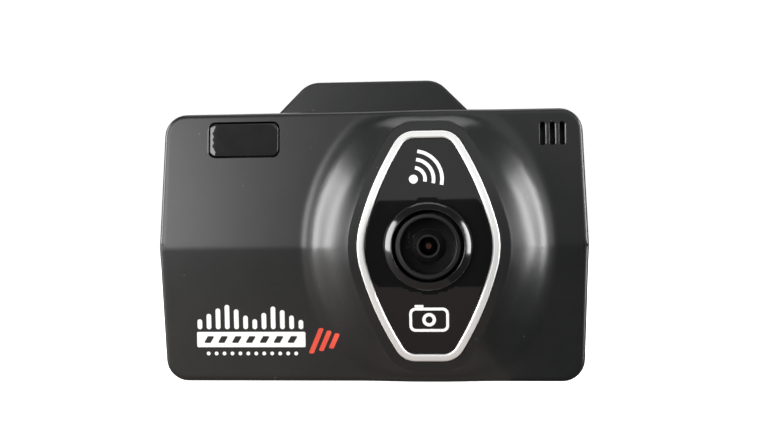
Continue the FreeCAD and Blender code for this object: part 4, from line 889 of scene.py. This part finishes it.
def build_lens(mats):
    """Lens ring, barrel, glasses and stop, all turned about the lens axis."""
    front, back = RING_LOW[1], RING_HIGH[1]
    ring = lathe("lens_ring_visual", [
        (RING_BORE, back), (RING_BORE, front + 0.35), (RING_BORE + 0.12, front + 0.05),
        (RING_BORE + 0.25, front + 0.03), (RING_R - 0.35, front + 0.95), (RING_R, front + 1.7),
        (RING_R, back)], 0.3)
    finish_piece(ring, mats["ring"], replaces=["lens_ring"])
    mouth, front, back = GLASS_R + 0.03, BARREL_LOW[1], BARREL_HIGH[1]
    neck_r, seat_r = 6.0, 3.7
    barrel = lathe("lens_barrel_visual", [
        (mouth, front + 0.55), (mouth + 0.03, front + 0.1), (mouth + 0.1, front),
        (mouth + 0.22, front), (mouth + 0.3, front + 0.14), (BARREL_R - 0.15, front + 0.14),
        (BARREL_R, front + 0.3), (BARREL_R, front + 6.0), (neck_r, front + 6.0), (neck_r, back),
        (seat_r, back), (seat_r, front + 4.2), (mouth, front + 4.2)], 0.04)
    finish_piece(barrel, mats["barrel"], replaces=["lens_barrel"])
    glass_back = GLASS_HIGH[1]
    glass = lathe("lens_front_glass_visual", bulge(GLASS_R, GLASS_LOW[1], 1.1, 14) + [
        (GLASS_R, glass_back), (GLASS_R * 0.6, glass_back - 0.5), (0, glass_back - 0.9)], 0.02)
    finish_piece(glass, mats["glass"], replaces=["lens_front_glass"])
    stop_y, stop_r, stop_bore = front + 3.3, 3.6, 1.85
    stop = lathe("lens_inner_ring_visual", [
        (stop_bore, stop_y + 0.45), (stop_bore, stop_y + 0.2), (2.05, stop_y + 0.12),
        (2.45, stop_y + 0.12), (2.5, stop_y + 0.3), (stop_r, stop_y + 0.5),
        (stop_r, stop_y + 0.8), (stop_bore, stop_y + 0.8)], 0.05)
    finish_piece(stop, mats["baffle"], replaces=["lens_inner_ring"])
    # a thin grey ring on the stop whose colour is painted light
    line = lathe("lens_painted_light_line", [
        (2.1, stop_y + 0.15), (2.1, stop_y), (2.42, stop_y), (2.42, stop_y + 0.15)], 0.05)
    finish_piece(line, mats["stop"])
    front, back = (corner[1] for corner in span("lens_rear_glass"))
    rear = lathe("lens_rear_glass_visual",
                 bulge(REAR_R, front, 0.5, 8) + [(REAR_R, back - 0.5), (0, back)], 0.02)
    finish_piece(rear, mats["pupil"], replaces=["lens_rear_glass"])
    # a small dome whose warm colour is a painted reflection deep in the lens
    bead = lathe("lens_painted_reflection", bulge(BEAD_R, front - 0.35, 0.3, 6) + [(BEAD_R, front), (0, front)],
                 0.02)
    finish_piece(bead, mats["painted_warm_reflection"])


def build_laser_window(mats):
    """The dark window that the laser receiver looks through."""
    window = plate("laser_window_visual", laser_loop(-WINDOW_INSET), face_y, 1.9, 0.25)
    finish_piece(window, mats["window"], replaces=["laser_window"])


def build_rear_shell(mats):
    """The back of the case with its mount block."""
    finish_piece(refined("rear_shell", 0.14), mats["case"])


# ---- plain CAD pieces

NODE_LOOKS = {
    "lens_holder": "inner", "camera_board": "green", "camera_screws": "steel",
    "image_sensor": "chip", "filter_glass": "glass", "camera_flex": "amber",
    "laser_receiver": "chip", "speaker_gasket": "foam", "speaker": "chip",
    "display_gasket": "foam", "lcd_panel": "lcd", "lcd_backlight": "steel",
    "button_board": "green", "tact_switches": "chip", "board_connector": "chip",
    "status_led": "light", "status_light": "light", "main_board": "green", "processor": "chip",
    "memory_chips": "chip", "power_coil": "chip", "battery": "foil", "radar_horn": "horn",
    "radar_board": "green", "gps_antenna": "ceramic", "gps_board": "green",
    "memory_card": "inner", "card_socket": "steel", "usb_socket": "steel", "microphone": "steel",
    "dock_contacts": "gold", "case_screws": "screw", "board_screws": "steel",
}


def dress_plain_nodes(mats):
    """Give the CAD nodes that are shown as they are their materials."""
    for name, look in NODE_LOOKS.items():
        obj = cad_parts[name]
        obj.data.materials.clear()
        obj.data.materials.append(mats[look])


# printed graphics: places are (x, z), in millimetres from the middle of the case's foot
BAR_FIRST, BAR_PITCH, BAR_WIDTH = (-38.2, 11.6), 2.05, 1.05
BAR_HEIGHTS = (2.2, 3.4, 4.6, 5.4, 4.4, 3.0, 2.2, 3.6, 5.0, 4.2, 3.0, 2.0)
TAG_MIDDLE, TAG_SIZE = (-26.8, 9.3), (24.2, 3.4)
SLIT_FIRST, SLIT_PITCH, SLIT_COUNT = (-36.2, 9.3), 3.1, 7
DOT_FIRST, DOT_PITCH, DOT_R, DOT_COUNT = (-36.4, 6.2), 1.78, 0.42, 12
STROKE_FIRST, STROKE_PITCH = (-12.3, 9.0), 2.0
SIGNAL = (9.6, 43.9)
SIGN = (LENS_X, 14.1)


def build_prints(mats):
    """Plain patterns in the places of the original's printed marks."""
    bars = [(bar_loop(BAR_FIRST[0] + BAR_PITCH * i, BAR_FIRST[1] + tall / 2,
                      BAR_WIDTH, tall, 0.5), ()) for i, tall in enumerate(BAR_HEIGHTS)]
    slits = [bar_loop(SLIT_FIRST[0] + SLIT_PITCH * i, SLIT_FIRST[1], 1.5, 1.5, 0.2, 0.9)
             for i in range(SLIT_COUNT)]
    tag = [(bar_loop(*TAG_MIDDLE, *TAG_SIZE, 0.3), slits)]
    dots = [(circle_loop(DOT_FIRST[0] + DOT_PITCH * i, DOT_FIRST[1], DOT_R, 20), ())
            for i in range(DOT_COUNT)]
    print_on("print_case_white", bars + tag + dots, shell_y, mats["white"])
    strokes = [(bar_loop(STROKE_FIRST[0] + STROKE_PITCH * i, STROKE_FIRST[1], 1.15, 5.6 - 1.1 * i,
                         0.3, 2.4 - 0.4 * i), ()) for i in range(3)]
    print_on("print_case_red", strokes, shell_y, mats["red"])
    waves = [(circle_loop(*SIGNAL, 0.95), ())]
    waves += [(band_loop(*SIGNAL, r, r + 0.75, -12, 82), ()) for r in (2.1, 3.9, 5.7)]
    camera = [(bar_loop(*SIGN, 8.4, 5.2, 1.3), [bar_loop(*SIGN, 7.2, 4.0, 0.8)]),
              (circle_loop(*SIGN, 1.45), [circle_loop(*SIGN, 0.75)]),
              (bar_loop(SIGN[0] - 2.1, SIGN[1] + 2.9, 1.9, 0.55, 0.15), ())]
    print_on("print_panel_white", waves + camera, panel_y, mats["white"])


SCREEN_PICTURE = (56.0, 35.0)


def build_screen(mats):
    """The screen's cover glass and the dark picture area behind it."""
    low, high = span("display_lens")
    x, _, z = middle("display_lens")
    outline = bar_loop(x, z, high[0] - low[0], high[2] - low[2], 2.0)
    cover = plate("display_lens_visual", outline, level(-BACK_Y), 1.0, 0.2, spacing=3.0,
                  sharp=SMOOTH_ANGLE)
    for vertex in cover.data.vertices:      # made facing the lens side, then turned round
        vertex.co.y = -vertex.co.y
    tidy_mesh(cover)
    smooth_by_angle(cover, SMOOTH_ANGLE)
    finish_piece(cover, mats["cover"], replaces=["display_lens"])
    picture = bar_loop(x, z, *SCREEN_PICTURE, 0.4)
    print_on("screen_picture", [(picture, ())], level(BACK_Y), mats["lcd"], side=0.3)


def button_shapes(name, x, z):
    """The pictogram of a button: ring, list, power sign or an arrow."""
    if name == "button_ok":
        return [(circle_loop(x, z, 1.05), [circle_loop(x, z, 0.65)])]
    if name == "button_menu":
        return [(bar_loop(x, z + 0.7 * i, 2.4, 0.32, 0.1), ()) for i in (-1, 0, 1)]
    if name == "button_power":
        return [(band_loop(x, z, 0.8, 1.15, 125, 415), ()),
                (bar_loop(x, z + 0.75, 0.34, 1.25, 0.1), ())]
    up = 1 if name == "button_up" else -1
    corners = [(x - 1.2, z - 0.65 * up), (x + 1.2, z - 0.65 * up), (x, z + 0.85 * up)][::up]
    return [(rounded_loop(corners, [0.15] * 3, 0.3), ())]


def build_buttons(mats):
    """Button caps with plain pictograms."""
    for name in ("button_ok", "button_down", "button_up", "button_menu", "button_power"):
        cap = refined(name, 0.06)
        x, _, z = middle(name)
        cap_y = span(name)[1][1] - PRINT
        for vertex in cap.data.vertices:
            vertex.co.y = min(vertex.co.y, cap_y * MM)
        finish_piece(cap, mats["button"], name)
        print_on(name + "_print", button_shapes(name, x, z), level(cap_y), mats["white"], name, 0.5)


# ---- stage, light and camera

# two corners and a height, in metres
FLOOR = (-6, -6), (6, 6), 0.0
TABLE = (-0.4, -0.085), (0.03, 0.4), -0.0005
# name, azimuth (0 is straight before the lens, negative to the left), elevation, size, radiance
SOFTBOXES = (
    ("box_left", -78, 12, (0.37, 0.84), 15.0),
    ("box_left_front", -52, 9, (0.42, 0.6), 1.8),
    ("box_right", 77, 11, (0.27, 0.80), 19.5),
    ("box_right_front", 50, 11, (0.42, 0.6), 2.0),
    ("box_front_left", -28, 9, (0.36, 0.42), 9.0),
    ("card_front_top", 14, 37, (0.9, 0.70), 0.76),
    ("box_back_left", -148, 32, (0.6, 0.6), 4.0),
    ("box_back_right", 140, 28, (0.7, 0.6), 4.5),
    ("box_top", 180, 80, (0.9, 0.7), 2.0),
)
WORLD_LIGHT, WORLD_SEEN = 0.10, 1.05    # strength for the object and for the camera
CAMERA_PLACE = (0.01827, -0.2223, 0.03277)
CAMERA_YAW, CAMERA_PITCH, CAMERA_ROLL = 0.0746, 0.0100, -0.0090     # radians
CAMERA_LENS, CAMERA_SENSOR = 47.4, 36
CAMERA_CLIP = (0.01, 20)


def ray_visibility(obj, camera, light):
    """Whether the camera and whether reflected light see a stage piece."""
    obj.visible_camera = camera
    obj.visible_diffuse = obj.visible_glossy = obj.visible_transmission = light
    obj.visible_shadow = False


def sheet(name, low, high, height, material):
    """A flat stage piece between two corners, in metres."""
    corners = [(low[0], low[1], height), (high[0], low[1], height),
               (high[0], high[1], height), (low[0], high[1], height)]
    mesh = bpy.data.meshes.new(name)
    mesh.from_pydata(corners, [], [(0, 1, 2, 3)])
    obj = bpy.data.objects.new(name, mesh)
    obj.data.materials.append(material)
    bpy.context.scene.collection.objects.link(obj)
    return obj


def glowing(name, color, rough, glow, strength):
    """A stage material that shines a little by itself."""
    material, shader = new_material(name, color, sum(rough) / 2)
    shader.inputs["Emission Color"].default_value = (*glow, 1)
    shader.inputs["Emission Strength"].default_value = strength
    vary(material, object_noise(material, 40.0, 2.0), shader, "Roughness", *rough)
    return material


def build_stage():
    """A white floor for the camera, and a dim table that the object reflects."""
    white = glowing("floor_white", (0.9, 0.9, 0.9), (0.55, 0.65), (1, 1, 1), 1.0)
    ray_visibility(sheet("floor", *FLOOR, white), True, False)
    warm = glowing("table_warm", (0.10, 0.085, 0.075), (0.6, 0.8), (1, 0.82, 0.72), 0.24)
    ray_visibility(sheet("table", *TABLE, warm), False, True)


def softbox(name, azimuth, elevation, size, radiance):
    """A soft light a metre away, aimed at the middle of the case."""
    turn, lift = math.radians(azimuth), math.radians(elevation)
    aim = Vector((0, 0, CREASE_Z * MM))
    place = aim + Vector((math.sin(turn) * math.cos(lift), -math.cos(turn) * math.cos(lift),
                          math.sin(lift)))
    data = bpy.data.lights.new(name, "AREA")
    data.shape = "RECTANGLE"
    data.size, data.size_y = size
    data.energy = radiance * math.pi * size[0] * size[1]
    lamp = bpy.data.objects.new(name, data)
    lamp.location = place
    lamp.rotation_euler = (aim - place).to_track_quat("-Z", "Y").to_euler()
    bpy.context.scene.collection.objects.link(lamp)


def build_lights():
    """The soft lights, and a world that is white to the camera and dim to the object."""
    for light in SOFTBOXES:
        softbox(*light)
    world = bpy.data.worlds.new("studio")
    bpy.context.scene.world = world
    world.use_nodes = True
    nodes, links = world.node_tree.nodes, world.node_tree.links
    dim = nodes["Background"]
    dim.inputs["Strength"].default_value = WORLD_LIGHT
    white = nodes.new("ShaderNodeBackground")
    white.inputs["Strength"].default_value = WORLD_SEEN
    path = nodes.new("ShaderNodeLightPath")
    mix = nodes.new("ShaderNodeMixShader")
    for background in (dim, white):
        background.inputs["Color"].default_value = (1, 1, 1, 1)
    links.new(path.outputs["Is Camera Ray"], mix.inputs[0])
    links.new(dim.outputs[0], mix.inputs[1])
    links.new(white.outputs[0], mix.inputs[2])
    links.new(mix.outputs[0], nodes["World Output"].inputs["Surface"])


def build_camera():
    """The camera that the object is shown through at rest."""
    data = bpy.data.cameras.new("camera")
    data.lens, data.sensor_width = CAMERA_LENS, CAMERA_SENSOR
    data.clip_start, data.clip_end = CAMERA_CLIP
    camera = bpy.data.objects.new("camera", data)
    camera.location = CAMERA_PLACE
    forward = Vector((-math.sin(CAMERA_YAW) * math.cos(CAMERA_PITCH),
                      math.cos(CAMERA_YAW) * math.cos(CAMERA_PITCH), math.sin(CAMERA_PITCH)))
    turn = forward.to_track_quat("-Z", "Y").to_matrix()
    tip = turn @ Vector((0, 0, 1))
    camera.rotation_euler = (Matrix.Rotation(CAMERA_ROLL, 3, tip) @ turn).to_euler()
    bpy.context.scene.collection.objects.link(camera)
    bpy.context.scene.camera = camera
    bpy.context.scene.view_settings.view_transform = "Standard"


mats = build_materials()
build_camera()
build_stage()
build_lights()
build_front_shell(mats)
build_rear_shell(mats)
build_pod(mats)
build_lens(mats)
build_laser_window(mats)
build_prints(mats)
build_screen(mats)
build_buttons(mats)
dress_plain_nodes(mats)
